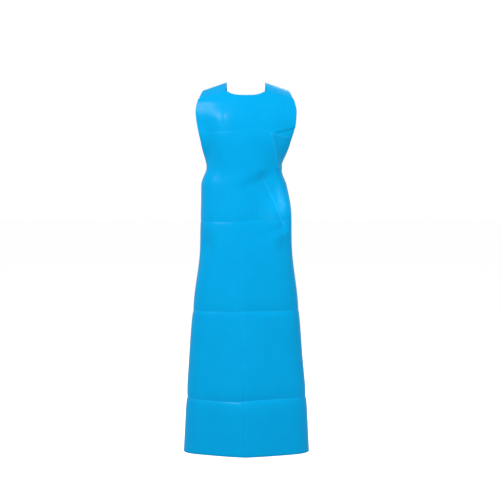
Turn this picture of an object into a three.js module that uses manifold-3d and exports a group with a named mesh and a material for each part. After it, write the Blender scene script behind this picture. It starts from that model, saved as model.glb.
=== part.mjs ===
// A bib apron of coated vinyl sheet, in the shape it takes when it is worn: a bib with wide
// shoulder straps that cross on the back, elastic ends with hooks, and a buckled waist belt.
// Millimetres, +Z up, the front faces -Y. The origin lies midway between the shoulders, at the
// height where the straps rest on them.
import * as THREE from 'three';
import { mergeVertices } from 'three/addons/utils/BufferGeometryUtils.js';
import Module from 'manifold-3d';

const wasm = await Module();
wasm.setup();

// ---- driving dimensions ----
const layerGap = 0.35; // clearance between layers that lie on each other
const lapGap = 0.8; // clearance between the curved sheet and what is lapped onto it
const holeClearance = 0.35; // around a rivet's shank

const bodySheet = 0.45;
const hemDrop = 1257; // the shoulder line to the hem
const cornerDrop = 345; // the shoulder line to the bib's lower corners
const hemHalfFlat = 400; // half of the flat hem
const cornerHalfFlat = 285; // half of the flat sheet at the corners
const topHalfFlat = 157; // half of the flat top edge
const neckHalfWidth = 68;
const neckDrop = 43;
const shoulderSeamDrop = 28; // at the neck side of the strap
const shoulderSlope = 0.3; // how far the seam falls for each millimetre outwards

const strapSheet = 0.6;
const strapShare = { inner: 0.46, outer: 0.96 }; // of the flat top edge, from its middle
const strapLap = 24; // the strap over the bib's top edge
const crownInner = { x: 66, z: 2 };
const crownOuter = { x: 148, z: -26 };
const crownFront = -3; // the strap lies flat on the shoulder from here
const crownBack = 13; // to here
const strapEndWidth = 40;
const crossHeight = -190;
const crossDepth = 100;
const crossLift = 1;
const crossTilt = 33; // the straps' lean from upright at the crossing, in degrees
const strapLayer = 1.7; // from one strap to the other where they cross
const crossPatchHalf = 26;
const patchSheet = 0.6;

const elasticWidth = 30;
const elasticThickness = 1.2;
const elasticLap = 24; // under the strap's end
const tabWidth = 26;
const tabSheet = 0.8;
const tabInset = 30; // from the sheet's side edge to the middle of the tab's lap
const tabDrop = 32; // below the corner
const tabLap = 30; // along the tab, from the middle of its lap to where it leaves the sheet
const ringWire = 3.5;
const ringDepth = 22; // between the centres of the straight bar and the round side
const hookPlate = 2;
const hookWidth = 14;
const eyeBar = 2.8;
const hookSlack = 3; // the ring's wire stands this far off the bottom of the hook
const wireClearance = 0.8; // between the ring's wire and the hook's arms
const eyeSide = 4; // the hook's eye past each edge of the elastic
const eyeBase = 3; // the solid part of the eye next to the hook
const sliderLength = 9;
const sliderWall = 1.4;

const beltWidth = 25;
const beltThickness = 1.2;
const beltHeight = -405;
const beltDepth = 84; // the buckle's distance behind the shoulder line
const buckleLength = 60;
const buckleWidth = beltWidth + 8;
const buckleThickness = 11;
const buckleWall = 2;
const plugClearance = 0.5;
const keeperBar = 1.1; // the keeper's bar between the belt and its tail
const keeperLength = 7;
const rightTail = 0.3; // the tails' lengths, as shares of the free belt
const leftTail = 0.8;

const labelArc = 330; // from the middle of the front
const labelHeight = -800;
const labelHalf = { arc: 22, height: 15 };
const labelSheet = 0.3;

const rivetShank = 4;
const rivetCap = 9;
const rivetCapHeight = 1.6;
const rivetWasher = 0.9;
const rivetGap = 0.6; // between a flange and the curved sheet under it

// ---- colours ----
const finish = (color, roughness, metalness = 0) =>
  new THREE.MeshStandardMaterial({ color, roughness, metalness });
const vinyl = finish(0x0a9fe6, 0.4);
const webbing = finish(0xe9edf2, 0.85);
const elastic = finish(0xf3f5f7, 0.8);
const plastic = finish(0xf0f2f4, 0.45);
const metal = finish(0xc9ccd0, 0.3, 1);
const paper = finish(0xffffff, 0.7);

const apron = new THREE.Group();
const v3 = (x, y, z) => new THREE.Vector3(x, y, z);
const pieces = new Map();

function add(name, geometry, material, parent = apron) {
  const mesh = new THREE.Mesh(geometry, material);
  mesh.name = name;
  parent.add(mesh);
  pieces.set(name, mesh);
  return mesh;
}

// ---- solids ----
function closedGeometry(points, faces) {
  const geometry = new THREE.BufferGeometry();
  const flat = points.flatMap((p) => [p.x, p.y, p.z]);
  geometry.setAttribute('position', new THREE.Float32BufferAttribute(flat, 3));
  let volume = 0;
  for (const [a, b, c] of faces) {
    volume += points[a].dot(points[b].clone().cross(points[c]));
  }
  const outward = volume > 0 ? faces : faces.map(([a, b, c]) => [a, c, b]);
  geometry.setIndex(outward.flat());
  return geometry;
}

// A sheet of one thickness around a grid of points on its middle surface.
function sheet(grid, thickness) {
  const rows = grid.length;
  const cols = grid[0].length;
  const points = [];
  for (const side of [0.5, -0.5]) {
    for (let r = 0; r < rows; r += 1) {
      for (let c = 0; c < cols; c += 1) {
        const ahead = grid[r][Math.min(c + 1, cols - 1)];
        const behind = grid[r][Math.max(c - 1, 0)];
        const above = grid[Math.min(r + 1, rows - 1)][c];
        const below = grid[Math.max(r - 1, 0)][c];
        const alongRow = ahead.clone().sub(behind);
        const alongCol = above.clone().sub(below);
        const normal = alongRow.cross(alongCol).normalize();
        points.push(grid[r][c].clone().addScaledVector(normal, side * thickness));
      }
    }
  }
  const faces = [];
  const quad = (a, b, c, d) => faces.push([a, b, c], [a, c, d]);
  const back = rows * cols;
  for (let r = 0; r < rows - 1; r += 1) {
    for (let c = 0; c < cols - 1; c += 1) {
      const at = r * cols + c;
      quad(at, at + 1, at + cols + 1, at + cols);
      quad(back + at, back + at + cols, back + at + cols + 1, back + at + 1);
    }
  }
  for (let r = 0; r < rows - 1; r += 1) {
    const left = r * cols;
    const right = left + cols - 1;
    quad(left, left + cols, back + left + cols, back + left);
    quad(right, back + right, back + right + cols, right + cols);
  }
  for (let c = 0; c < cols - 1; c += 1) {
    const top = (rows - 1) * cols + c;
    quad(c, back + c, back + c + 1, c + 1);
    quad(top, top + 1, back + top + 1, back + top);
  }
  return closedGeometry(points, faces);
}

function toSolid(geometry) {
  const bare = geometry.clone();
  bare.deleteAttribute('normal');
  bare.deleteAttribute('uv');
  const merged = mergeVertices(bare, 1e-4);
  return new wasm.Manifold(new wasm.Mesh({
    numProp: 3,
    vertProperties: new Float32Array(merged.attributes.position.array),
    triVerts: new Uint32Array(merged.index.array),
  }));
}

function toGeometry(solid) {
  const mesh = solid.getMesh();
  const geometry = new THREE.BufferGeometry();
  geometry.setAttribute('position', new THREE.BufferAttribute(mesh.vertProperties, 3));
  geometry.setIndex(new THREE.BufferAttribute(mesh.triVerts, 1));
  return geometry;
}

function cut(geometry, ...cutters) {
  let solid = toSolid(geometry);
  for (const cutter of cutters) {
    solid = solid.subtract(toSolid(cutter));
  }
  return toGeometry(solid);
}

function join(geometry, ...others) {
  let solid = toSolid(geometry);
  for (const other of others) {
    solid = solid.add(toSolid(other));
  }
  return toGeometry(solid);
}

const boxAt = (sx, sy, sz, x = 0, y = 0, z = 0) =>
  new THREE.BoxGeometry(sx, sy, sz).translate(x, y, z);

// ---- the form the sheet wraps around ----
// Each station is one level section of the sheet. `widest` is the half width of the section,
// `front` its depth at the middle, and the slopes, in degrees, say how the section heads back:
// at the middle, before the side, and behind it. The side turns over the length `turn`.
const waist = { widest: 125, front: 108 };
const hip = { widest: 157, front: 126 };
const hem = { widest: 208, front: 150 };
const stations = [
  { z: -20, widest: 250, front: 52, middle: 4, side: 26, back: 150, turn: 120 },
  { z: -70, widest: 250, front: 80, middle: 3, side: 24, back: 150, turn: 120 },
  { z: -130, widest: 225, front: 100, middle: 1, side: 26, back: 150, turn: 140 },
  { z: -206, widest: 165, front: 108, middle: 0, side: 40, back: 150, turn: 170 },
  { z: -295, widest: waist.widest, front: waist.front, middle: 0, side: 55, back: 150, turn: 180 },
  { z: -cornerDrop, widest: 141, front: 112, middle: 0, side: 50, back: 150, turn: 190 },
  { z: -450, widest: 154, front: 120, middle: 2, side: 36, back: 152, turn: 210 },
  { z: -560, widest: hip.widest, front: hip.front, middle: 3, side: 26, back: 152, turn: 220 },
  { z: -730, widest: 176, front: 134, middle: 7, side: 25, back: 146, turn: 190 },
  { z: -900, widest: 192, front: 141, middle: 10, side: 27, back: 141, turn: 165 },
  { z: -hemDrop, widest: hem.widest, front: hem.front, middle: 14, side: 30, back: 136, turn: 150 },
];

// A smooth value between the rows of a table that runs downwards in z, with no overshoot.
function between(table, key, z) {
  const last = table.length - 1;
  const rate = (a, b) => (table[b][key] - table[a][key]) / (table[b].z - table[a].z);
  const tangent = (i) => {
    if (i === 0) return rate(0, 1);
    if (i === last) return rate(last - 1, last);
    const before = rate(i - 1, i);
    const after = rate(i, i + 1);
    return before * after <= 0 ? 0 : (2 * before * after) / (before + after);
  };
  let i = 0;
  while (i < last - 1 && z < table[i + 1].z) i += 1;
  const step = table[i + 1].z - table[i].z;
  const t = (z - table[i].z) / step;
  const t2 = t * t;
  const t3 = t2 * t;
  return (2 * t3 - 3 * t2 + 1) * table[i][key] + (t3 - 2 * t2 + t) * tangent(i) * step
    + (3 * t2 - 2 * t3) * table[i + 1][key] + (t3 - t2) * tangent(i + 1) * step;
}

const smoothstep = (t) => {
  const k = Math.min(1, Math.max(0, t));
  return k * k * (3 - 2 * k);
};
const radians = Math.PI / 180;

function slopeAt(arc, turnAt, level) {
  const ahead = level.middle + (level.side - level.middle) * Math.min(arc / turnAt, 1);
  const turned = smoothstep((arc - turnAt) / level.turn + 0.5);
  return ahead + (level.back - level.side) * turned;
}

// The section as points a short arc apart, from the middle of the front to `length` along it.
const arcStep = 2;
function traceSection(turnAt, level, length) {
  const trace = [{ x: 0, y: -level.front }];
  for (let arc = 0; arc < length; arc += arcStep) {
    const slope = slopeAt(arc + arcStep / 2, turnAt, level) * radians;
    const from = trace[trace.length - 1];
    trace.push({ x: from.x + arcStep * Math.cos(slope), y: from.y + arcStep * Math.sin(slope) });
  }
  return trace;
}

const sections = new Map();
function sectionAt(z) {
  if (!sections.has(z)) {
    const level = {};
    for (const key of ['widest', 'front', 'middle', 'side', 'back', 'turn']) {
      level[key] = between(stations, key, z);
    }
    let low = level.widest * 0.5;
    let high = level.widest * 1.6;
    for (let i = 0; i < 24; i += 1) {
      const turnAt = (low + high) / 2;
      const trace = traceSection(turnAt, level, turnAt + level.turn);
      const reach = Math.max(...trace.map((p) => p.x));
      if (reach < level.widest) low = turnAt;
      else high = turnAt;
    }
    sections.set(z, traceSection(low, level, hemHalfFlat * 1.4));
  }
  return sections.get(z);
}

// The point of the middle surface at a signed arc from the middle of the front, at height z.
function formPoint(arc, z) {
  const trace = sectionAt(z);
  const place = Math.abs(arc) / arcStep;
  const i = Math.min(Math.floor(place), trace.length - 2);
  const t = place - i;
  const x = trace[i].x + (trace[i + 1].x - trace[i].x) * t;
  const y = trace[i].y + (trace[i + 1].y - trace[i].y) * t;
  return v3(arc < 0 ? -x : x, y, z);
}

function formNormal(arc, z) {
  const across = formPoint(arc + 3, z).sub(formPoint(arc - 3, z));
  const up = formPoint(arc, z + 3).sub(formPoint(arc, z - 3));
  return across.cross(up).normalize();
}

const onForm = (arc, z, offset) => formPoint(arc, z).addScaledVector(formNormal(arc, z), offset);

// ---- the apron body ----
const armhole = [
  { z: -30, arc: 152 },
  { z: -62, arc: 166 },
  { z: -100, arc: 174 },
  { z: -150, arc: 171 },
  { z: -215, arc: 164 },
  { z: -262, arc: 166 },
  { z: -292, arc: 181 },
  { z: -320, arc: 214 },
  { z: -cornerDrop, arc: cornerHalfFlat },
];

function halfFlat(z) {
  if (z >= -cornerDrop) return between(armhole, 'arc', z);
  const down = (-cornerDrop - z) / (hemDrop - cornerDrop);
  return cornerHalfFlat + (hemHalfFlat - cornerHalfFlat) * down;
}

// The top edge: a shallow dip at the neck, then the seams that fall with the shoulders.
function topEdge(across) {
  const x = Math.abs(across) * topHalfFlat;
  if (x < neckHalfWidth) {
    const rise = (x / neckHalfWidth) ** 3;
    return -neckDrop + (neckDrop - shoulderSeamDrop) * rise;
  }
  return -shoulderSeamDrop - shoulderSlope * (x - neckHalfWidth);
}

// The grid's level rows lie closer together near the corners, where other pieces are lapped.
const topRow = -60;
const rowBands = [
  { from: -hemDrop, to: -cornerDrop - 125, count: 10 },
  { from: -cornerDrop - 125, to: -cornerDrop, count: 6 },
  { from: -cornerDrop, to: -cornerDrop + 83, count: 7 },
  { from: -cornerDrop + 83, to: topRow, count: 7 },
];
const halfColumns = 15;

function bodyGrid() {
  const columns = [];
  for (let i = -halfColumns; i <= halfColumns; i += 1) columns.push(i / halfColumns);
  const grid = [];
  for (const band of rowBands) {
    for (let i = 0; i < band.count; i += 1) {
      const z = band.from + ((band.to - band.from) * i) / band.count;
      grid.push(columns.map((u) => formPoint(u * halfFlat(z), z)));
    }
  }
  for (const t of [0, 0.5, 1]) {
    grid.push(columns.map((u) => {
      const top = Math.max(topEdge(u), topRow + 4);
      const z = topRow + (top - topRow) * t;
      return formPoint(u * halfFlat(z), z);
    }));
  }
  return grid;
}

// ---- strips that lie on the form and run free from it ----
// A row is the left, middle and right points of a strip at one place along it.
const rowFrom = (count, at) =>
  Array.from({ length: count }, (_, i) => at((2 * i) / (count - 1) - 1));
const lapRow = (arc, z, dir, width, offset, count = 5) => rowFrom(count, (q) =>
  onForm(arc - dir.z * q * width / 2, z + dir.arc * q * width / 2, offset));

// ---- rivets ----
// A rivet's cap, shank and washer for a stack of layers, with its axis along Y.
function rivetGeometry(stack) {
  const cap = rivetCap / 2;
  const shank = rivetShank / 2;
  const outer = stack / 2 + rivetGap;
  const inner = -outer;
  const foot = inner - rivetWasher;
  const crown = outer + rivetCapHeight;
  const profile = [
    [0, foot], [cap, foot], [cap, inner], [shank, inner],
    [shank, outer], [cap, outer], [cap * 0.7, crown], [0, crown],
  ];
  return new THREE.LatheGeometry(profile.map(([r, h]) => new THREE.Vector2(r, h)), 8);
}

// Drills the named sheets and sets a rivet through them.
const drillReach = 3;
function setRivet(name, point, normal, stack, through) {
  const turn = new THREE.Quaternion().setFromUnitVectors(v3(0, 1, 0), normal);
  const radius = rivetShank / 2 + holeClearance;
  for (const piece of through) {
    const drill = new THREE.CylinderGeometry(radius, radius, stack + 2 * drillReach, 8);
    drill.applyQuaternion(turn).translate(point.x, point.y, point.z);
    pieces.get(piece).geometry = cut(pieces.get(piece).geometry, drill);
  }
  const mesh = add(name, rivetGeometry(stack), metal);
  mesh.position.copy(point);
  mesh.quaternion.copy(turn);
}

// ---- one side of the back: ring tab, ring, hook, elastic, slider, shoulder strap ----
const sideName = (side) => (side > 0 ? 'right' : 'left');

// The surface that the straps follow on the back: its middle line, and how it falls to the sides.
const backLine = [
  { z: 10, y: 2, fall: 0.1 },
  { z: -40, y: 52, fall: 0.18 },
  { z: -100, y: 86, fall: 0.3 },
  { z: crossHeight, y: crossDepth, fall: 0.5 },
  { z: -300, y: crossDepth, fall: 0.58 },
];
const ridgeRadius = 22;
function backPoint(x, z, offset) {
  const away = Math.hypot(x, ridgeRadius) - ridgeRadius;
  return v3(x, between(backLine, 'y', z) - between(backLine, 'fall', z) * away + offset, z);
}

// Distances from the sheet's middle surface: where a lap starts, and the tab's two layers.
const lapStart = bodySheet / 2 + lapGap;
const tabInner = lapStart + tabSheet / 2;
const tabOuter = tabInner + tabSheet + layerGap;
const ringLift = 1.8; // keeps the ring's bar clear of the sheet's edge
const runOffset = (tabInner + tabOuter) / 2 + ringLift;

// The frame of a run from the side's ring tab to the crossing: origin, across, out and along.
function runFrame(side) {
  const anchor = { arc: side * (cornerHalfFlat - tabInset), z: -cornerDrop - tabDrop };
  const start = onForm(anchor.arc, anchor.z, runOffset);
  const goal = v3(0, crossDepth, crossHeight);
  const heading = goal.clone().sub(start);
  const middle = formPoint(anchor.arc, anchor.z);
  const ahead = formPoint(anchor.arc + side * 4, anchor.z).sub(middle).normalize();
  const dir = { arc: side * heading.dot(ahead), z: heading.z };
  const size = Math.hypot(dir.arc, dir.z);
  dir.arc /= size;
  dir.z /= size;
  const edge = { arc: anchor.arc + dir.arc * tabLap, z: anchor.z + dir.z * tabLap };
  const origin = onForm(edge.arc, edge.z, runOffset);
  const along = goal.clone().sub(origin).normalize();
  const outward = formNormal(edge.arc, edge.z);
  const out = outward.addScaledVector(along, -outward.dot(along)).normalize();
  const across = out.clone().cross(along);
  return { side, anchor, dir, origin, along, out, across, length: goal.distanceTo(origin) };
}

const runPoint = (run, b, n, t) => run.origin.clone()
  .addScaledVector(run.across, b).addScaledVector(run.out, n).addScaledVector(run.along, t);
const runRow = (run, width, n, t, count = 5) =>
  rowFrom(count, (q) => runPoint(run, q * width / 2, n, t));

// A half turn of a strip around a bar at `t`, from the inner layer to the outer one.
function turnRows(run, width, radius, t, away) {
  const rows = [];
  for (let angle = -90; angle <= 90; angle += 30) {
    const a = angle * radians;
    rows.push(runRow(run, width, radius * Math.sin(a), t + away * radius * Math.cos(a)));
  }
  return rows;
}

// Places along a run, from where the tab leaves the sheet.
const ringBar = 18;
const ringFar = ringBar + ringDepth;
const hookBend = hookPlate / 2 + ringWire / 2 + wireClearance;
const hookBottom = ringFar - ringWire / 2 - hookSlack - hookPlate / 2;
const hookCentre = hookBottom + hookBend;
const eyeStart = ringFar + 20;
const eyeLength = 12;
const barCentre = eyeStart + eyeLength - eyeBar / 2;
const sliderPlace = barCentre + 32;
const tailEnd = sliderPlace + 22;
const strapTail = 76; // the strap's end past the crossing

// The elastic's two layers lie `layerHalf` to each side of the run's middle.
const layerHalf = elasticThickness / 2 + 0.7;
const turnRadius = Math.hypot(eyeBar / 2, hookPlate / 2) + 0.45 + elasticThickness / 2;
const strapUnder = -layerHalf - elasticThickness / 2 - layerGap - strapSheet / 2;

// The tab lies on the sheet, turns round the ring's bar and comes back on itself.
function tabRows(run) {
  const lapPlaces = [-6, 6, 18];
  const at = (p, offset) => {
    const { arc, z } = run.anchor;
    return lapRow(arc + run.dir.arc * p, z + run.dir.z * p, run.dir, tabWidth, offset);
  };
  const radius = ringWire / 2 + 0.5 + tabSheet / 2;
  const beforeTurn = ringBar - 5;
  return [
    ...lapPlaces.map((p) => at(p, tabInner)),
    runRow(run, tabWidth, -radius, beforeTurn),
    ...turnRows(run, tabWidth, radius, ringBar, 1),
    runRow(run, tabWidth, radius, beforeTurn),
    ...lapPlaces.reverse().map((p) => at(p, tabOuter)),
  ];
}

// A closed round wire along a flat loop given in (across, along).
function wireLoop(points, wire, sides = 6) {
  const vertices = [];
  const count = points.length;
  for (let i = 0; i < count; i += 1) {
    const before = points[(i + count - 1) % count];
    const after = points[(i + 1) % count];
    const tangent = after.clone().sub(before).normalize();
    const outward = v3(tangent.z, 0, -tangent.x);
    for (let k = 0; k < sides; k += 1) {
      const a = (2 * Math.PI * k) / sides;
      vertices.push(points[i].clone()
        .addScaledVector(outward, (wire / 2) * Math.cos(a))
        .add(v3(0, (wire / 2) * Math.sin(a), 0)));
    }
  }
  const faces = [];
  for (let i = 0; i < count; i += 1) {
    for (let k = 0; k < sides; k += 1) {
      const a = i * sides + k;
      const b = i * sides + ((k + 1) % sides);
      const c = ((i + 1) % count) * sides + k;
      const d = ((i + 1) % count) * sides + ((k + 1) % sides);
      faces.push([a, b, d], [a, d, c]);
    }
  }
  return closedGeometry(vertices, faces);
}

// In a run's group, X is across, Y is out and Z is along.
function runGroup(run) {
  const group = new THREE.Group();
  const basis = new THREE.Matrix4().makeBasis(run.across, run.out, run.along);
  group.quaternion.setFromRotationMatrix(basis);
  group.position.copy(run.origin);
  apron.add(group);
  return group;
}

// The straight bar that the tab holds, and the bulging round side that the hook catches.
function ringGeometry() {
  const halfWidth = tabWidth / 2 + 3;
  const halfBar = halfWidth - 1.5;
  const barSteps = 5;
  const roundSteps = 16;
  const bulge = 0.75;
  const corner = 2;
  const points = [];
  for (let i = 0; i <= barSteps; i += 1) {
    points.push(v3(halfBar * ((2 * i) / barSteps - 1), 0, ringBar));
  }
  for (let i = 0; i <= roundSteps; i += 1) {
    const a = (i / roundSteps) * Math.PI;
    const out = Math.sign(Math.cos(a)) * Math.abs(Math.cos(a)) ** bulge;
    const up = Math.sin(a) ** bulge;
    points.push(v3(halfWidth * out, 0, ringBar + corner + (ringDepth - corner) * up));
  }
  return wireLoop(points, ringWire);
}

// A flat profile of constant thickness along a path in (along, out), extruded across.
function bentPlate(path, thickness, width) {
  const upper = [];
  const lower = [];
  path.forEach((p, i) => {
    const before = path[Math.max(i - 1, 0)];
    const after = path[Math.min(i + 1, path.length - 1)];
    const tangent = after.clone().sub(before).normalize();
    const side = new THREE.Vector2(-tangent.y, tangent.x).multiplyScalar(thickness / 2);
    upper.push(p.clone().add(side));
    lower.push(p.clone().sub(side));
  });
  const shape = new THREE.Shape([...upper, ...lower.reverse()]);
  const solid = new THREE.ExtrudeGeometry(shape, { depth: width, bevelEnabled: false });
  solid.translate(0, 0, -width / 2);
  // The path's X becomes along, its Y out, and the width runs across.
  return solid.rotateY(-Math.PI / 2);
}

// A plate bent round the ring's far side, with a slotted eye for the elastic.
function hookGeometry() {
  const tip = hookCentre + 7;
  const bendSteps = 8;
  const path = [new THREE.Vector2(tip, -hookBend)];
  for (let i = 0; i <= bendSteps; i += 1) {
    const a = -Math.PI / 2 - (i / bendSteps) * Math.PI;
    path.push(new THREE.Vector2(hookCentre + hookBend * Math.cos(a), hookBend * Math.sin(a)));
  }
  path.push(new THREE.Vector2(ringFar + 9, hookBend));
  path.push(new THREE.Vector2(eyeStart - 4, 0));
  path.push(new THREE.Vector2(eyeStart + 2, 0));
  const bent = bentPlate(path, hookPlate, hookWidth);
  const slot = eyeLength - eyeBar - eyeBase;
  const eye = cut(
    boxAt(elasticWidth + 2 * eyeSide, hookPlate, eyeLength, 0, 0, eyeStart + eyeLength / 2),
    boxAt(elasticWidth + 2, hookPlate * 2, slot, 0, 0, eyeStart + eyeBase + slot / 2),
  );
  return join(bent, eye);
}

function elasticRows(run) {
  const settled = barCentre + 12;
  return [
    runRow(run, elasticWidth, -layerHalf, run.length - strapTail + elasticLap),
    runRow(run, elasticWidth, -layerHalf, run.length - strapTail),
    runRow(run, elasticWidth, -layerHalf, settled),
    ...turnRows(run, elasticWidth, turnRadius, barCentre, -1),
    runRow(run, elasticWidth, layerHalf, settled),
    runRow(run, elasticWidth, layerHalf, sliderPlace),
    runRow(run, elasticWidth, layerHalf, tailEnd),
  ];
}

// A loop with two windows and a bar between them, for two layers of a strip.
function sliderGeometry(width, thickness, apart, length) {
  const windowHeight = thickness + 2 * layerGap;
  const windowWidth = width + 1.6;
  const side = 2.5;
  const height = 2 * apart + windowHeight + 2 * sliderWall;
  const body = boxAt(windowWidth + 2 * side, height, length);
  const window = (n) => boxAt(windowWidth, windowHeight, length + 2, 0, n, 0);
  return cut(body, window(apart), window(-apart));
}

// The strap: from the lap on the bib, over the shoulder, down the back and past the crossing.
function strapRows(run, layer) {
  const count = 7;
  const side = -run.side; // a strap ends on the other side from its shoulder
  const outward = (q) => (side > 0 ? q : -q);
  // On the sheet the strap runs between two shares of the top edge.
  const front = (drop) => rowFrom(count, (q) => {
    const share = (outward(q) + 1) / 2;
    const u = strapShare.inner + (strapShare.outer - strapShare.inner) * share;
    const z = topEdge(u) - drop;
    return onForm(side * u * halfFlat(z), z, lapStart + strapSheet / 2);
  });
  const crown = (y) => rowFrom(count, (q) => {
    const share = (outward(q) + 1) / 2;
    const x = crownInner.x + (crownOuter.x - crownInner.x) * share;
    return v3(side * x, y, crownInner.z + (crownOuter.z - crownInner.z) * share);
  });
  const back = ({ x, z, width, tilt, lift }) => rowFrom(count, (q) => {
    const reach = outward(q) * width / 2;
    const lean = tilt * radians;
    return backPoint(side * (x + reach * Math.cos(lean)), z - reach * Math.sin(lean), lift);
  });
  const crossing = (past) => back({
    x: -past * Math.sin(crossTilt * radians),
    z: crossHeight - past * Math.cos(crossTilt * radians),
    width: strapEndWidth + Math.max(0, -past - 30) * 0.3,
    tilt: crossTilt,
    lift: crossLift + layer,
  });
  const end = run.length - strapTail;
  return [
    ...[strapLap, strapLap / 2, 1].map(front),
    ...[crownFront, crownBack].map(crown),
    back({ x: 99, z: -42, width: 76, tilt: 24, lift: 0.5 }),
    back({ x: 72, z: -88, width: 62, tilt: 32, lift: 0.8 + layer / 2 }),
    ...[-62, -42, -21, 0, 21, 40].map(crossing),
    ...[elasticLap + 5, elasticLap, elasticLap / 2, 0].map((past) =>
      runRow(run, strapEndWidth, strapUnder, end + past, count)),
  ];
}

// More rows on smooth curves through each column.
function refine(rows, steps) {
  const columns = rows[0].map((_, c) => {
    const knots = rows.map((row) => row[c]);
    return new THREE.CatmullRomCurve3(knots, false, 'centripetal');
  });
  const fine = [];
  const count = (rows.length - 1) * steps;
  for (let i = 0; i <= count; i += 1) {
    fine.push(columns.map((curve) => curve.getPoint(i / count)));
  }
  return fine;
}

// A square patch, set on its corner, that lies on the straps where they cross.
const crossPatchLift = crossLift + strapLayer + strapSheet / 2 + lapGap + patchSheet / 2;
function crossPatchRows() {
  const reach = crossPatchHalf / Math.SQRT2;
  return rowFrom(9, (p) => rowFrom(9, (q) =>
    backPoint((p + q) * reach, crossHeight + (p - q) * reach, crossPatchLift)));
}

// A patch behind the sheet at its corner, which backs the tab and the belt's end.
function cornerPatchRows(side) {
  const middle = { arc: cornerHalfFlat - 40, z: -cornerDrop - 42 };
  const half = { arc: 34, z: 36 };
  return rowFrom(7, (p) => rowFrom(7, (q) => onForm(
    side * (middle.arc + half.arc * q),
    middle.z + half.z * p,
    -(lapStart + patchSheet / 2),
  )));
}

// A blank label welded inside the skirt, near its edge.
function labelRows() {
  return rowFrom(3, (p) => rowFrom(4, (q) => onForm(
    labelArc + labelHalf.arc * q,
    labelHeight + labelHalf.height * p,
    -(lapStart + labelSheet / 2),
  )));
}

// ---- the waist belt ----
const endBar = 3; // the buckle's square bars that the belts turn round
const barReach = buckleLength / 2 - 2;
const beltTurn = Math.hypot(endBar / 2, endBar / 2) + 0.45 + beltThickness / 2;
const beltOffset = lapStart + beltThickness / 2;
const beltApart = beltThickness + 2 * layerGap + keeperBar;
const beltColumn = (x, y) => rowFrom(3, (q) => v3(x, y, beltHeight + q * beltWidth / 2));

// The belt lies on the sheet, runs to the buckle, turns round its bar and comes back as a tail.
function beltRows(side, tail) {
  const rows = [];
  const edge = cornerHalfFlat + 6;
  for (let inside = 66; inside > 0; inside -= 12) {
    const arc = side * (edge - inside);
    rows.push(rowFrom(3, (q) => onForm(arc, beltHeight + q * beltWidth / 2, beltOffset)));
  }
  const leave = onForm(side * edge, beltHeight, beltOffset + 0.6);
  const start = v3(Math.abs(leave.x), leave.y, 0);
  const goal = v3(barReach + 8, beltDepth - beltTurn, 0);
  const straight = goal.clone().sub(start);
  const out = v3(straight.y, -straight.x, 0).normalize();
  const at = (t, n) => start.clone().addScaledVector(straight, t).addScaledVector(out, n);
  const column = (t, n) => beltColumn(side * at(t, n).x, at(t, n).y);
  rows.push(column(0, 0), column(0.5, 0), column(1, 0));
  for (let angle = -90; angle <= 90; angle += 30) {
    const a = angle * radians;
    const x = barReach - beltTurn * Math.cos(a);
    rows.push(beltColumn(side * x, beltDepth + beltTurn * Math.sin(a)));
  }
  const tailStart = 0.9;
  for (const share of [0, 0.5, 1]) rows.push(column(tailStart - tail * share, beltApart));
  const keeper = at(0.45, beltApart / 2);
  const heading = straight.normalize();
  return {
    rows,
    heading: v3(side * heading.x, heading.y, 0),
    keeper: v3(side * keeper.x, keeper.y, beltHeight),
  };
}

// The open frame at each end of the buckle: two arms and the bar for the belt.
function endFrame(side) {
  const arm = (z) => boxAt(12, 5, endBar, side * (barReach - 4.5), 0, z);
  const reach = (buckleWidth - endBar) / 2;
  return [boxAt(endBar, endBar, buckleWidth, side * barReach), arm(reach), arm(-reach)];
}

const mouth = 3; // how far the socket reaches past the buckle's middle
const housing = 20;
const inside = { thickness: buckleThickness - 2 * buckleWall, width: buckleWidth - 2 * buckleWall };

// The socket is open towards the plug and at both long edges, where the plug's arms are pressed.
function socketGeometry() {
  const length = housing + mouth;
  const middle = (mouth - housing) / 2;
  const shell = join(boxAt(length, buckleThickness, buckleWidth, middle), ...endFrame(-1));
  const cavity = boxAt(length, inside.thickness, inside.width, middle + buckleWall + 1);
  const grip = boxAt(9, inside.thickness, buckleWidth + 2, middle - 2);
  return cut(shell, cavity, grip);
}

// The plug has a guide in the middle and two arms.
function plugGeometry() {
  const root = mouth + plugClearance;
  const tip = -12;
  const depth = housing - root;
  const overlap = 1;
  const armWidth = 4;
  const guideWidth = 5;
  const armSpring = 1.5; // the arms' room to bend inwards
  const reach = inside.width / 2 - plugClearance - armWidth / 2 - armSpring;
  const base = boxAt(depth, buckleThickness - 2, buckleWidth, root + depth / 2);
  const prong = (width, z) =>
    boxAt(root + overlap - tip, 4, width, (tip + root + overlap) / 2, 0, z);
  return join(base, prong(guideWidth, 0), prong(armWidth, reach), prong(armWidth, -reach),
    ...endFrame(1));
}

// ---- assembly ----
for (const side of [-1, 1]) {
  const name = sideName(side);
  const run = runFrame(side);
  const group = runGroup(run);
  add(`ring_tab_${name}`, sheet(tabRows(run), tabSheet), vinyl);
  add(`d_ring_${name}`, ringGeometry(), metal, group);
  add(`hook_${name}`, hookGeometry(), metal, group);
  const slider = sliderGeometry(elasticWidth, elasticThickness, layerHalf, sliderLength);
  add(`strap_slider_${name}`, slider.translate(0, 0, sliderPlace), plastic, group);
  add(`elastic_strap_${name}`, sheet(elasticRows(run), elasticThickness), elastic);
  const layer = side > 0 ? 0 : strapLayer;
  const strap = sheet(refine(strapRows(run, layer), 2), strapSheet);
  add(`shoulder_strap_${sideName(-side)}`, strap, vinyl);
  add(`corner_patch_${name}`, sheet(cornerPatchRows(side), patchSheet), vinyl);
  const belt = beltRows(side, side > 0 ? rightTail : leftTail);
  add(`waist_belt_${name}`, sheet(belt.rows, beltThickness), webbing);
}
add('back_cross_patch', sheet(crossPatchRows(), patchSheet), vinyl);
add('size_label_blank', sheet(labelRows(), labelSheet), paper);
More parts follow.
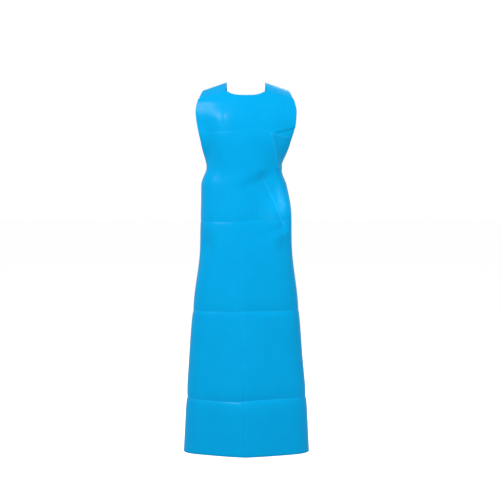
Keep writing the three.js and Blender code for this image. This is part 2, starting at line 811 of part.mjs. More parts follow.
add('buckle_socket', socketGeometry(), plastic).position.set(0, beltDepth, beltHeight);
add('buckle_plug', plugGeometry(), plastic).position.set(0, beltDepth, beltHeight);
add('apron_body', sheet(bodyGrid(), bodySheet), vinyl);

// The keeper is a loop around the long belt and its tail.
function placeKeeper() {
  const { heading, keeper } = beltRows(-1, leftTail);
  const loop = sliderGeometry(beltWidth, beltThickness, beltApart / 2, keeperLength);
  const mesh = add('belt_keeper', loop, plastic);
  const up = v3(0, 0, 1);
  const out = up.clone().cross(heading).normalize();
  const basis = new THREE.Matrix4().makeBasis(up, out, up.clone().cross(out));
  mesh.quaternion.setFromRotationMatrix(basis);
  mesh.position.copy(keeper);
}
placeKeeper();

// ---- rivets through the layers ----
function cornerRivets(side, run) {
  const name = sideName(side);
  const patchBack = -(lapStart + patchSheet);
  const patch = `corner_patch_${name}`;
  const through = (label, { arc, z }, high, lapped) => {
    const point = onForm(arc, z, (patchBack + high) / 2);
    setRivet(label, point, formNormal(arc, z), high - patchBack, ['apron_body', lapped, patch]);
  };
  const tabSpread = 7;
  const beltPlaces = { outer: cornerHalfFlat - 52, inner: cornerHalfFlat - 24 };
  for (const [label, q] of [['outer', 1], ['inner', -1]]) {
    const tabPlace = {
      arc: run.anchor.arc + run.dir.arc * 2 - run.dir.z * q * tabSpread,
      z: run.anchor.z + run.dir.z * 2 + run.dir.arc * q * tabSpread,
    };
    through(`tab_rivet_${label}_${name}`, tabPlace, tabOuter + tabSheet / 2, `ring_tab_${name}`);
  }
  for (const [label, arc] of Object.entries(beltPlaces)) {
    const place = { arc: side * arc, z: beltHeight };
    through(`belt_rivet_${label}_${name}`, place, lapStart + beltThickness, `waist_belt_${name}`);
  }
}

function strapRivets(side, run) {
  const name = sideName(side);
  const low = strapUnder - strapSheet / 2;
  const high = elasticThickness / 2 - layerHalf;
  const place = run.length - strapTail + elasticLap / 2;
  for (const [label, q] of [['upper', 1], ['lower', -1]]) {
    const point = runPoint(run, q * 8, (low + high) / 2, place);
    setRivet(`strap_rivet_${label}_${name}`, point, run.out, high - low,
      [`elastic_strap_${name}`, `shoulder_strap_${sideName(-side)}`]);
  }
}

function crossRivet() {
  const low = crossLift - strapSheet / 2;
  const high = crossPatchLift + patchSheet / 2;
  setRivet('back_cross_rivet', backPoint(0, crossHeight, (low + high) / 2), v3(0, 1, 0),
    high - low, ['back_cross_patch', 'shoulder_strap_left', 'shoulder_strap_right']);
}

for (const side of [-1, 1]) {
  const run = runFrame(side);
  cornerRivets(side, run);
  strapRivets(side, run);
}
crossRivet();

export default apron;
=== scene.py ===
import math
from collections import namedtuple

import bmesh
import bpy
import numpy as np
from mathutils import Matrix, Vector


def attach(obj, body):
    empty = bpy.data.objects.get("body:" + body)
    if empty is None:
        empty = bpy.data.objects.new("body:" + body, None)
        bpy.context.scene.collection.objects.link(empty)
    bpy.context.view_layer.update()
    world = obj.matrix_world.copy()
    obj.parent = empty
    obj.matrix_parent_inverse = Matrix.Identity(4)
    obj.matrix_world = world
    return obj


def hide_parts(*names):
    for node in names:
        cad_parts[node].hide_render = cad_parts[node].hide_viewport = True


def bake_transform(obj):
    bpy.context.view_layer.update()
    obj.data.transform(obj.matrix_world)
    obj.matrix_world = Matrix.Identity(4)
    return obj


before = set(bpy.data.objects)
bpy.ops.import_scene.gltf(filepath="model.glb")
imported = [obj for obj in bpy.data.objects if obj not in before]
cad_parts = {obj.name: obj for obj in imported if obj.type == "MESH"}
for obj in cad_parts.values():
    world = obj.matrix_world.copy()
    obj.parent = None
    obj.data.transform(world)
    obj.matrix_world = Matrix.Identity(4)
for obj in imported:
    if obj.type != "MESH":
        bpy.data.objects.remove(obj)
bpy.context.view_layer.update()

# The shape is worked out in millimetres, as in the CAD source, and the meshes are in metres.
MM = 0.001

# ---- sizes repeated from the CAD source ----
BODY_SHEET = 0.45
LAYER_GAP = 0.35
LAP_GAP = 0.8
HEM_DROP = 1257.0
CORNER_DROP = 345.0
HEM_HALF = 400.0
CORNER_HALF = 285.0
TOP_HALF = 157.0
NECK_HALF = 68.0
NECK_DROP = 43.0
SEAM_DROP = 28.0
SEAM_SLOPE = 0.3
TOP_ROW = -60.0
STRAP_SHEET = 0.6
STRAP_SHARE = (0.46, 0.96)
STRAP_LAP = 24.0
STRAP_END = 40.0
STRAP_TAIL = 76.0
STRAP_LAYER = 1.7
CROWN_INNER = (66.0, 2.0)
CROWN_OUTER = (148.0, -26.0)
CROWN_FRONT, CROWN_BACK = -3.0, 13.0
CROSS_Z, CROSS_Y = -190.0, 100.0
CROSS_LIFT = 1.0
CROSS_TILT = math.radians(33)
RIDGE_RADIUS = 22.0
PATCH_SHEET = 0.6
CROSS_PATCH_HALF = 26.0
TAB_WIDTH, TAB_SHEET = 26.0, 0.8
TAB_INSET, TAB_DROP, TAB_LAP = 30.0, 32.0, 30.0
RING_WIRE, RING_DEPTH, RING_BAR, RING_LIFT = 3.5, 22.0, 18.0, 1.8
HOOK_PLATE, EYE_BAR = 2.0, 2.8
ELASTIC_WIDTH, ELASTIC_THICK, ELASTIC_LAP = 30.0, 1.2, 24.0
BELT_WIDTH, BELT_THICK, BELT_Z, BELT_Y = 25.0, 1.2, -405.0, 84.0
BUCKLE_LENGTH, BUCKLE_THICK = 60.0, 11.0
BUCKLE_BAR = 3.0
KEEPER_BAR = 1.1
LEFT_TAIL, RIGHT_TAIL = 0.8, 0.3
RIVET_SHANK, RIVET_CAP, RIVET_HEIGHT, RIVET_GAP, RIVET_WASHER = 4.0, 9.0, 1.6, 0.6, 0.9
LABEL_ARC, LABEL_Z, LABEL_SHEET = 330.0, -800.0, 0.3
LABEL_HALF = (22.0, 15.0)

LAP = BODY_SHEET / 2 + LAP_GAP
TAB_INNER = LAP + TAB_SHEET / 2
TAB_OUTER = TAB_INNER + TAB_SHEET + LAYER_GAP
RUN_OFFSET = (TAB_INNER + TAB_OUTER) / 2 + RING_LIFT
BAR_CENTRE = RING_BAR + RING_DEPTH + 32 - EYE_BAR / 2
LAYER_HALF = ELASTIC_THICK / 2 + 0.7
TURN_RADIUS = math.hypot(EYE_BAR / 2, HOOK_PLATE / 2) + 0.45 + ELASTIC_THICK / 2
TAIL_END = BAR_CENTRE + 54
STRAP_UNDER = -LAYER_HALF - ELASTIC_THICK / 2 - LAYER_GAP - STRAP_SHEET / 2
PATCH_LIFT = CROSS_LIFT + STRAP_LAYER + STRAP_SHEET / 2 + LAP_GAP + PATCH_SHEET / 2
BAR_REACH = BUCKLE_LENGTH / 2 - 2
BELT_TURN = math.hypot(BUCKLE_BAR / 2, BUCKLE_BAR / 2) + 0.45 + BELT_THICK / 2
BELT_OFFSET = LAP + BELT_THICK / 2
BELT_APART = BELT_THICK + 2 * LAYER_GAP + KEEPER_BAR

# One row for each level section: height, half width, depth of the front, the slopes in degrees
# (at the middle, before the side and behind it) and the length over which the side turns.
STATIONS = np.array([
    (-20, 250, 52, 4, 26, 150, 120),
    (-70, 250, 80, 3, 24, 150, 120),
    (-130, 225, 100, 1, 26, 150, 140),
    (-206, 165, 108, 0, 40, 150, 170),
    (-295, 125, 108, 0, 55, 150, 180),
    (-CORNER_DROP, 141, 112, 0, 50, 150, 190),
    (-450, 154, 120, 2, 36, 152, 210),
    (-560, 157, 126, 3, 26, 152, 220),
    (-730, 176, 134, 7, 25, 146, 190),
    (-900, 192, 141, 10, 27, 141, 165),
    (-HEM_DROP, 208, 150, 14, 30, 136, 150),
], dtype=float)
ARMHOLE = np.array([
    (-30, 152), (-62, 166), (-100, 174), (-150, 171), (-215, 164),
    (-262, 166), (-292, 181), (-320, 214), (-CORNER_DROP, CORNER_HALF),
], dtype=float)
BACK_LINE = np.array([
    (10, 2, 0.1), (-40, 52, 0.18), (-100, 86, 0.3), (CROSS_Z, CROSS_Y, 0.5), (-300, CROSS_Y, 0.58),
], dtype=float)


# ---- the form the sheet wraps around ----
def hermite(t, start, end, leaving, arriving):
    """A cubic from start to end, with its tangents at the two ends."""
    return ((2 * t**3 - 3 * t**2 + 1) * start + (t**3 - 2 * t**2 + t) * leaving
            + (3 * t**2 - 2 * t**3) * end + (t**3 - t**2) * arriving)


def between(table, z):
    """Smooth values between the rows of a table that runs downwards in z, with no overshoot."""
    last = len(table) - 1
    rates = np.diff(table[:, 1:], axis=0) / np.diff(table[:, 0])[:, None]

    def tangent(i):
        if i in (0, last):
            return rates[0 if i == 0 else last - 1]
        product = rates[i - 1] * rates[i]
        total = np.where(product > 0, rates[i - 1] + rates[i], 1.0)
        return np.where(product > 0, 2 * product / total, 0.0)

    i = 0
    while i < last - 1 and z < table[i + 1, 0]:
        i += 1
    step = table[i + 1, 0] - table[i, 0]
    t = (z - table[i, 0]) / step
    return hermite(t, table[i, 1:], table[i + 1, 1:], tangent(i) * step, tangent(i + 1) * step)


def smoothstep(t):
    k = np.clip(t, 0.0, 1.0)
    return k * k * (3 - 2 * k)


def below(z, start, length):
    """From 0 at the height `start` to 1 at `length` below it."""
    return smoothstep((start - z) / length)


def beyond(arcs, start, length):
    """From 0 at `start` on each side of the middle to 1 at `length` further out."""
    return smoothstep((np.abs(arcs) - start) / length)


ARC_STEP = 2.0
ARC_END = HEM_HALF * 1.4
NORMAL_REACH = 3.0


def trace_section(turn_at, level, length):
    """Points (x, y) along one level section: the slope over the arc, added up from the middle."""
    front, middle, side, back, turn = level[1:]
    arcs = np.arange(0.0, length, ARC_STEP) + ARC_STEP / 2
    slope = middle + (side - middle) * np.minimum(arcs / turn_at, 1.0)
    slope = np.radians(slope + (back - side) * smoothstep((arcs - turn_at) / turn + 0.5))
    x = np.concatenate([[0.0], np.cumsum(ARC_STEP * np.cos(slope))])
    y = np.concatenate([[0.0], np.cumsum(ARC_STEP * np.sin(slope))]) - front
    return np.stack([x, y], axis=-1)


def section_at(z):
    """The section whose half width is the station's, found by moving the start of its turn."""
    level = between(STATIONS, z)
    low, high = level[0] * 0.5, level[0] * 1.6
    for _ in range(24):
        turn_at = (low + high) / 2
        if trace_section(turn_at, level, turn_at + level[5])[:, 0].max() < level[0]:
            low = turn_at
        else:
            high = turn_at
    return trace_section(low, level, ARC_END)


# The sections at even heights: every point of the form is read between them.
LEVEL_STEP = 3.0
LOWEST = -HEM_DROP - 4 * LEVEL_STEP
LEVELS = np.arange(LOWEST, 24.0, LEVEL_STEP)
FORM = np.array([section_at(z) for z in LEVELS])


def form_points(arcs, z):
    """Points of the middle surface at signed arcs from the middle of the front and heights."""
    arcs, z = np.broadcast_arrays(np.asarray(arcs, dtype=float), np.asarray(z, dtype=float))
    row = np.clip((z - LOWEST) / LEVEL_STEP, 0, len(LEVELS) - 1.001)
    col = np.clip(np.abs(arcs) / ARC_STEP, 0, FORM.shape[1] - 1.001)
    i, j = row.astype(int), col.astype(int)
    s, t = (row - i)[..., None], (col - j)[..., None]
    plan = ((1 - s) * (1 - t) * FORM[i, j] + (1 - s) * t * FORM[i, j + 1]
            + s * (1 - t) * FORM[i + 1, j] + s * t * FORM[i + 1, j + 1])
    side = np.where(arcs < 0, -1.0, 1.0)
    return np.stack([plan[..., 0] * side, plan[..., 1], z], axis=-1)


def unit(v):
    return v / np.maximum(np.linalg.norm(v, axis=-1, keepdims=True), 1e-9)


def form_normals(arcs, z):
    across = form_points(arcs + NORMAL_REACH, z) - form_points(arcs - NORMAL_REACH, z)
    up = form_points(arcs, z + NORMAL_REACH) - form_points(arcs, z - NORMAL_REACH)
    return unit(np.cross(across, up))


def on_form(arcs, z, offset):
    return form_points(arcs, z) + form_normals(arcs, z) * offset


def half_flat(z):
    """Half of the flat sheet's width at a height."""
    if z >= -CORNER_DROP:
        return float(between(ARMHOLE, z)[0])
    down = (-CORNER_DROP - z) / (HEM_DROP - CORNER_DROP)
    return CORNER_HALF + (HEM_HALF - CORNER_HALF) * down


def half_flats(z):
    return np.array([half_flat(v) for v in np.ravel(z)]).reshape(np.shape(z))


def top_edge(across):
    """The height of the sheet's top edge, at a share of its half width: neckline, then seam."""
    x = np.abs(across) * TOP_HALF
    neck = -NECK_DROP + (NECK_DROP - SEAM_DROP) * (np.minimum(x, NECK_HALF) / NECK_HALF) ** 3
    seam = -SEAM_DROP - SEAM_SLOPE * (x - NECK_HALF)
    return np.where(x < NECK_HALF, neck, seam)


# ---- creases and hollows of the sheet, as offsets along its outward normal ----
# Lines and places on the flat sheet are (arc, height) pairs.
# The sheet was folded flat for packing. Each level fold has a height and a depth.
LEVEL_FOLDS = [(-163, 0.9), (-466, 2.6), (-770, 4.2), (-1069, 6.0)]
FOLD_ABOVE, FOLD_BELOW = 20.0, 11.0
MIDDLE_DEPTH, MIDDLE_GROWTH = 0.6, 3.6
MIDDLE_LEFT, MIDDLE_RIGHT = 13.0, 8.0
SKIRT_START, SKIRT_GROWTH = -420.0, 300.0
# The long bright facet below the waist, on the right: a valley that rises to a raised flat.
FACET_EDGE = (67, -312), (150, -493)
FACET_DEPTH, FACET_RISE, FACET_WIDTH = 15.0, 17.0, 40.0
# The dent beside the right armhole, with a raised rim on two sides.
DENT_SIDE = (93, -174), (122, -292)
DENT_TOP = (160, -192), (92, -174)
SIDE_RIM, TOP_RIM = 3.4, 2.0
DENT_DEPTH, DENT_WIDTH = 3.6, 26.0
# The long soft line at the edge of the hollow beside the left armhole.
CHEST_LINE = (-101, -150), (-101, -300)
# Soft pulls in the sheet: start, end, depth and reach.
PULLS = [
    ((-44, -345), (-100, -455), 1.3, 9.0), ((-12, -372), (-52, -462), 0.8, 9.0),
    ((8, -352), (66, -452), 1.4, 10.0), ((30, -70), (20, -150), 0.7, 8.0),
    ((-66, -80), (-58, -150), 0.6, 8.0), ((70, -64), (64, -120), 0.9, 9.0),
    ((112, -66), (126, -160), 1.0, 6.0), ((134, -76), (146, -165), 0.9, 5.0),
    ((-134, -70), (-146, -150), 0.8, 7.0), ((152, -890), (196, -1010), 0.9, 12.0),
    ((118, -868), (178, -866), 0.7, 8.0), ((-96, -500), (-150, -640), 0.9, 14.0),
]
# Hollows beside the left armhole and at the hips: centre, half sizes and depth.
HOLLOWS = [((-128, -226), (24, 52), 6.0), ((-140, -548), (24, 42), 9.0),
           ((138, -548), (30, 44), 9.0)]
# How far the sheet stands in or out on the left and the right: at the waist, chest and hem.
WAIST_Z, WAIST_REACH, WAIST_OUT = -325.0, 62.0, (12.0, -3.0)
CHEST_Z, CHEST_REACH, CHEST_OUT = -140.0, 50.0, (-11.0, 0.0)
HEM_START, HEM_REACH, HEM_OUT = -880.0, 250.0, (5.0, 8.0)


def valley(distance, depth, length, short=None):
    """A pressed-in line: `length` is its reach on the positive side, `short` on the other."""
    reach = np.where(distance > 0, length, short or length)
    return -depth * np.exp(-np.abs(distance) / reach)


def hollow(arcs, z, centre, half, depth):
    away = ((arcs - centre[0]) / half[0]) ** 2 + ((z - centre[1]) / half[1]) ** 2
    return -depth * np.exp(-away)


def beside_line(arcs, z, start, end):
    """The signed distance to the right of a line on the flat sheet, and the share along it."""
    run = np.array(end, dtype=float) - np.array(start, dtype=float)
    length = np.hypot(*run)
    ahead = ((arcs - start[0]) * run[0] + (z - start[1]) * run[1]) / length
    right = ((arcs - start[0]) * -run[1] + (z - start[1]) * run[0]) / length
    return right, ahead / length


def window(t, soft=0.12):
    """One between 0 and 1, with soft ends."""
    return smoothstep(t / soft + 0.5) * smoothstep((1 - t) / soft + 0.5)


def ridge(distance, height, reach):
    return height * np.exp(-np.abs(distance) / reach)


def fold_line(arcs, height):
    """The height of a level fold: it wavers, and lies a little lower on the left."""
    return height + 1.5 * np.sin(arcs / 70.0 + height) + 4.0 * smoothstep(arcs / 60.0 + 0.5) - 2.0


def folds(arcs, z):
    total = np.zeros_like(arcs)
    turned = beyond(arcs, 120, 80)
    for height, depth in LEVEL_FOLDS:
        strength = (1 + 0.25 * np.sin(arcs / 45.0 + height / 60.0)) * (1 - 0.5 * turned)
        total += valley(z - fold_line(arcs, height), depth * strength, FOLD_ABOVE, FOLD_BELOW)
    depth = MIDDLE_DEPTH + MIDDLE_GROWTH * below(z, SKIRT_START, SKIRT_GROWTH) \
        * (1 - 0.6 * below(z, -1075, 30))
    return total + valley(-arcs, depth, MIDDLE_LEFT, MIDDLE_RIGHT)


def facets(arcs, z):
    right, share = beside_line(arcs, z, *FACET_EDGE)
    flat = (FACET_RISE * np.clip(right / FACET_WIDTH, 0, 1) - FACET_DEPTH) \
        * (1 - smoothstep((right - 45) / 50.0))
    total = window(share, 0.2) * np.where(right > 0, flat, ridge(right, -FACET_DEPTH, 60.0))
    right, share = beside_line(arcs, z, *DENT_SIDE)
    dent = ridge(right, SIDE_RIM, 5.0) - DENT_DEPTH * smoothstep(right / DENT_WIDTH)
    total += window(share, 0.1) * dent
    right, share = beside_line(arcs, z, *DENT_TOP)
    total += window(share, 0.1) * ridge(right, TOP_RIM, 4.0)
    right, share = beside_line(arcs, z, *CHEST_LINE)
    return total + window(share, 0.3) * ridge(right, 0.7, 4.0)


def soft_folds(arcs, z):
    total = np.zeros_like(arcs)
    for start, end, depth, length in PULLS:
        right, share = beside_line(arcs, z, start, end)
        total += window(share, 0.35) * valley(right, depth, length)
    for centre, half, depth in HOLLOWS:
        total += hollow(arcs, z, centre, half, depth)
    # Slow unevenness of a sheet that hangs free.
    free = below(z, -430, 200)
    total += free * 1.6 * np.sin(arcs / 83.0 + z / 210.0 + 0.6) * np.sin(z / 160.0 + 1.1)
    return total + free * 0.5 * np.sin(arcs / 29.0 + z / 75.0) * np.sin(arcs / 51.0 - z / 120.0)


def leaning(arcs, z):
    """The wearer's stance: the waist sits a little to the left, and the hem stands out."""
    side = beyond(arcs, 70, 80)
    waist = np.exp(-((z - WAIST_Z) / WAIST_REACH) ** 2) * side
    chest = np.exp(-((z - CHEST_Z) / CHEST_REACH) ** 2) * side
    return (waist * np.where(arcs < 0, *WAIST_OUT) + chest * np.where(arcs < 0, *CHEST_OUT)
            + below(z, HEM_START, HEM_REACH) * np.where(arcs < 0, *HEM_OUT))


def wrinkle(arcs, z):
    """Every offset, faded out where straps, tabs, patches and the label lie on the sheet."""
    keep = below(z, TOP_ROW, 22)
    corner = beyond(arcs, 186, 22) * smoothstep((z + 474) / 26.0)
    label = np.exp(-(((arcs - LABEL_ARC) / 40.0) ** 4 + ((z - LABEL_Z) / 34.0) ** 4))
    keep = keep * (1 - corner) * (1 - label)
    return keep * (folds(arcs, z) + facets(arcs, z) + soft_folds(arcs, z) + leaning(arcs, z))


# ---- meshes ----
def add_object(name, data):
    made = bpy.data.objects.new(name, data)
    bpy.context.scene.collection.objects.link(made)
    return made


def make_object(name, vertices, faces, cloth):
    """`cloth` gives each vertex its place on the flat material, in millimetres."""
    mesh = bpy.data.meshes.new(name)
    mesh.from_pydata([tuple(v) for v in np.asarray(vertices) * MM], [], faces)
    mesh.update()
    place = mesh.attributes.new("cloth", "FLOAT_VECTOR", "POINT")
    place.data.foreach_set("vector", np.asarray(cloth, dtype=np.float32).ravel())
    mesh.shade_smooth()
    return add_object(name, mesh)


def finish_piece(piece, body, replaced, slot, *materials):
    """`body` is None for a piece that is blended between two bodies."""
    for material in materials:
        piece.data.materials.append(material)
    if body is not None:
        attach(piece, body)
    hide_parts(*replaced)


def grid_normals(grid):
    return unit(np.cross(np.gradient(grid, axis=1), np.gradient(grid, axis=0)))


def sheet_parts(grid, outer, inner, cloth=None):
    """A closed sheet around a grid of middle points, `outer` and `inner` thick on its two sides,
    with a rounded rim, as vertices, faces and places on the flat material."""
    normals = grid_normals(grid)
    rows, cols = grid.shape[:2]
    outer = np.broadcast_to(np.asarray(outer, dtype=float), (rows, cols))[..., None]
    inner = np.broadcast_to(np.asarray(inner, dtype=float), (rows, cols))[..., None]
    front = (grid + normals * outer).reshape(-1, 3)
    back = (grid - normals * inner).reshape(-1, 3)
    index = np.arange(rows * cols).reshape(rows, cols)
    rim = np.concatenate([index[0, :-1], index[:-1, -1], index[-1, :0:-1], index[:0:-1, 0]])
    centre = grid.reshape(-1, 3)[rim]
    ahead = np.roll(centre, -1, axis=0) - np.roll(centre, 1, axis=0)
    outward = unit(np.cross(ahead, normals.reshape(-1, 3)[rim]))
    depth = (outer + inner).reshape(-1)[rim][:, None] / 2
    edge = (front[rim] + back[rim]) / 2 + outward * depth * 0.8
    vertices = np.concatenate([front, back, edge])
    a, b, c, d = index[:-1, :-1], index[:-1, 1:], index[1:, 1:], index[1:, :-1]
    quads = np.stack([a, b, c, d], axis=-1).reshape(-1, 4)
    faces = quads.tolist() + (quads[:, ::-1] + rows * cols).tolist()
    count, base = len(rim), rows * cols
    for i in range(count):
        j = (i + 1) % count
        faces.append([rim[j], rim[i], 2 * base + i, 2 * base + j])
        faces.append([2 * base + j, 2 * base + i, base + rim[i], base + rim[j]])
    if cloth is None:
        across = np.linalg.norm(np.diff(grid, axis=1, prepend=grid[:, :1]), axis=-1).cumsum(axis=1)
        across -= across[:, -1:] / 2
        along = np.linalg.norm(np.diff(grid, axis=0, prepend=grid[:1]), axis=-1).cumsum(axis=0)
        along = np.broadcast_to(along[:, cols // 2][:, None], (rows, cols))
        cloth = np.stack([across, along, np.zeros_like(across)], axis=-1)
    flat = cloth.reshape(-1, 3)
    return vertices, faces, np.concatenate([flat, flat, flat[rim]])


def vinyl_piece(name, grid, outer, inner, replaced):
    """A strap, tab or patch of the strap vinyl, fixed to the apron."""
    piece = make_object(name, *sheet_parts(grid, outer, inner))
    finish_piece(piece, "apron", [replaced], "vinyl_strap", STRAP_VINYL)


def spokes(across, other, sides):
    """Directions all round an axis, from two that are square to it and to each other."""
    angles = np.linspace(0, 2 * np.pi, sides, endpoint=False)[:, None]
    return across * np.cos(angles) + other * np.sin(angles)


def ring_faces(rings, sides, closed=False):
    """Quads between neighbouring rings, each of `sides` points."""
    index = np.arange(rings * sides).reshape(rings, sides)
    first, after = (index, np.roll(index, -1, axis=0)) if closed else (index[:-1], index[1:])
    quads = [first, np.roll(first, -1, axis=1), np.roll(after, -1, axis=1), after]
    return np.stack(quads, axis=-1).reshape(-1, 4)


def joined(*parts):
    """Several (vertices, faces, cloth) parts as one."""
    vertices, faces, cloth = [], [], []
    start = 0
    for v, f, c in parts:
        vertices.append(v)
        cloth.append(c)
        faces += [[i + start for i in face] for face in f]
        start += len(v)
    return np.concatenate(vertices), faces, np.concatenate(cloth)


def spline_rows(rows, steps):
    """More rows on centripetal curves through each column, as the CAD source draws them."""
    rows = np.asarray(rows, dtype=float)
    first = 2 * rows[0] - rows[1]
    last = 2 * rows[-1] - rows[-2]
    knots = np.concatenate([first[None], rows, last[None]])
    out = []
    for i in range(len(rows) - 1):
        p0, p1, p2, p3 = knots[i:i + 4]
        d0, d1, d2 = (np.maximum(np.linalg.norm(q - p, axis=-1, keepdims=True), 1e-4) ** 0.5
                      for p, q in ((p0, p1), (p1, p2), (p2, p3)))
        m1 = ((p1 - p0) / d0 - (p2 - p0) / (d0 + d1) + (p2 - p1) / d1) * d1
        m2 = ((p2 - p1) / d1 - (p3 - p1) / (d1 + d2) + (p3 - p2) / d2) * d1
        out += [hermite(t, p1, p2, m1, m2) for t in np.arange(steps) / steps]
    out.append(rows[-1])
    return np.array(out)


def even_rows(rows, spacing):
    """Straight rows between the given ones, at most `spacing` apart."""
    out = [rows[0]]
    for a, b in zip(rows[:-1], rows[1:]):
        count = max(1, math.ceil(np.linalg.norm(b - a, axis=-1).max() / spacing))
        out += [a + (b - a) * k / count for k in range(1, count + 1)]
    return np.array(out)


def lathe_parts(profile, centre, axis, sides=28):
    """A round solid about an axis: the profile runs from one end of the axis to the other."""
    axis = unit(np.asarray(axis, dtype=float))
    across = unit(np.cross(axis, (0.3, 0.2, 1.0) if abs(axis[2]) < 0.9 else (1.0, 0.2, 0.3)))
    around = spokes(across, np.cross(axis, across), sides)
    rings = [centre + around * radius + axis * height for radius, height in profile[1:-1]]
    ends = [[centre + axis * height] for _, height in (profile[0], profile[-1])]
    vertices = np.concatenate([ends[0], *rings, ends[1]])
    last = len(vertices) - 1
    faces = (ring_faces(len(profile) - 2, sides) + 1).tolist()
    for k in range(sides):
        j = (k + 1) % sides
        faces.append([0, 1 + j, 1 + k])
        faces.append([last, last - sides + k, last - sides + j])
    return vertices, faces, vertices - centre


THREAD_WIDTH = 0.7
# The rings of one stitch: the share along it and the share of its full width.
STITCH_RINGS = ((0.06, 0.35), (0.2, 0.9), (0.5, 1.0), (0.8, 0.9), (0.94, 0.35))
STITCH_SIDES = 6


def thread_parts(points, normals):
    """A row of stitches: each is a small rounded thread between two neighbouring points."""
    last = STITCH_SIDES * (len(STITCH_RINGS) - 1)
    faces = [list(range(STITCH_SIDES))[::-1], list(range(last, last + STITCH_SIDES))]
    faces += ring_faces(len(STITCH_RINGS), STITCH_SIDES).tolist()
    parts = []
    for a, b, n in zip(points[:-1], points[1:], normals[:-1]):
        ahead = b - a
        length = np.linalg.norm(ahead)
        ahead = ahead / length
        around = spokes(np.cross(ahead, n), n, STITCH_SIDES) * THREAD_WIDTH / 2
        rings = [a + ahead * length * share + (n * THREAD_WIDTH * 0.3 + around) * size
                 for share, size in STITCH_RINGS]
        vertices = np.concatenate(rings)
        parts.append((vertices, faces, vertices))
    return joined(*parts)


def stitched_box(place, half, pitch=2.6, crossed=True):
    """Box stitching: `place(b, t)` gives a point on the strip, and its normal."""
    corners = [(-half[0], -half[1]), (half[0], -half[1]), (half[0], half[1]), (-half[0], half[1])]
    lines = list(zip(corners, corners[1:] + corners[:1]))
    if crossed:
        lines += [(corners[0], corners[2]), (corners[1], corners[3])]
    parts = []
    for start, end in lines:
        count = max(2, round(math.dist(start, end) / pitch))
        spots = [place(start[0] + (end[0] - start[0]) * k / count,
                       start[1] + (end[1] - start[1]) * k / count) for k in range(count + 1)]
        parts.append(thread_parts([p for p, _ in spots], [n for _, n in spots]))
    return joined(*parts)


# ---- materials ----
class Shade:
    """A new material with its node tree and shader, and short ways to add nodes."""

    def __init__(self, name, color, roughness, **values):
        self.material = bpy.data.materials.new(name)
        self.material.use_nodes = True
        self.tree = self.material.node_tree
        self.shader = self.tree.nodes["Principled BSDF"]
        self.set(self.shader, "Base Color", (*color, 1))
        self.set(self.shader, "Roughness", roughness)
        for key, value in values.items():
            self.set(self.shader, key.replace("_", " "), value)
        self.bump_from = None

    def set(self, node, key, value):
        node.inputs[key].default_value = value

    def link(self, source, target):
        self.tree.links.new(source, target)

    def node(self, kind, **values):
        made = self.tree.nodes.new(kind)
        for key, value in values.items():
            setattr(made, key, value)
        return made

    def cloth(self):
        return self.node("ShaderNodeAttribute", attribute_name="cloth").outputs["Vector"]

    def place(self):
        return self.node("ShaderNodeTexCoord").outputs["Object"]

    def stretched(self, vector, scale):
        mapping = self.node("ShaderNodeMapping")
        self.set(mapping, "Scale", scale)
        self.link(vector, mapping.inputs["Vector"])
        return mapping.outputs["Vector"]

    def noise(self, vector, scale, detail=3.0):
        made = self.node("ShaderNodeTexNoise")
        self.set(made, "Scale", scale)
        self.set(made, "Detail", detail)
        self.set(made, "Roughness", 0.55)
        self.link(vector, made.inputs["Vector"])
        return made.outputs["Fac"]

    def wave(self, vector, scale, direction):
        made = self.node("ShaderNodeTexWave", wave_type="BANDS", bands_direction=direction)
        self.set(made, "Scale", scale)
        self.link(vector, made.inputs["Vector"])
        return made.outputs["Fac"]

    def math(self, operation, a, b):
        made = self.node("ShaderNodeMath", operation=operation)
        for socket, value in zip(made.inputs, (a, b)):
            if isinstance(value, (int, float)):
                socket.default_value = value
            else:
                self.link(value, socket)
        return made.outputs[0]

    def span(self, value, low, high, from_low=0.0, from_high=1.0):
        made = self.node("ShaderNodeMapRange")
        for key, number in (("From Min", from_low), ("From Max", from_high),
                            ("To Min", low), ("To Max", high)):
            self.set(made, key, number)
        self.link(value, made.inputs["Value"])
        return made.outputs["Result"]

    def colors(self, value, *stops):
        ramp = self.node("ShaderNodeValToRGB")
        while len(ramp.color_ramp.elements) < len(stops):
            ramp.color_ramp.elements.new(0.5)
        for element, (position, color) in zip(ramp.color_ramp.elements, stops):
            element.position = position
            element.color = (*color, 1)
        self.link(value, ramp.inputs["Fac"])
        self.link(ramp.outputs["Color"], self.shader.inputs["Base Color"])

    def woven(self, pattern, fuzz, share, *tones):
        """Yarn colours: `share` of the tone from the weave's pattern and the rest from its fuzz."""
        tone = self.math("ADD", self.math("MULTIPLY", pattern, share),
                         self.math("MULTIPLY", fuzz, 1 - share))
        self.colors(tone, *zip((0.0, 0.5, 1.0), tones))

    def rough(self, value, low, high):
        self.link(self.span(value, low, high), self.shader.inputs["Roughness"])

    def bump(self, height, distance, strength):
        made = self.node("ShaderNodeBump")
        self.set(made, "Distance", distance)
        self.set(made, "Strength", strength)
        self.link(height, made.inputs["Height"])
        if self.bump_from is not None:
            self.link(self.bump_from, made.inputs["Normal"])
        self.bump_from = made.outputs["Normal"]
        self.link(self.bump_from, self.shader.inputs["Normal"])


VINYL_GLOSS = 0.07
BLUE = (0.0, 0.405, 0.825)
BLUE_DEEP = (0.0, 0.384, 0.800)
# Paler blue for crease lines: partly stress whitening, partly a painted highlight.
BLUE_CREASE_AND_HIGHLIGHT = (0.012, 0.440, 0.860)


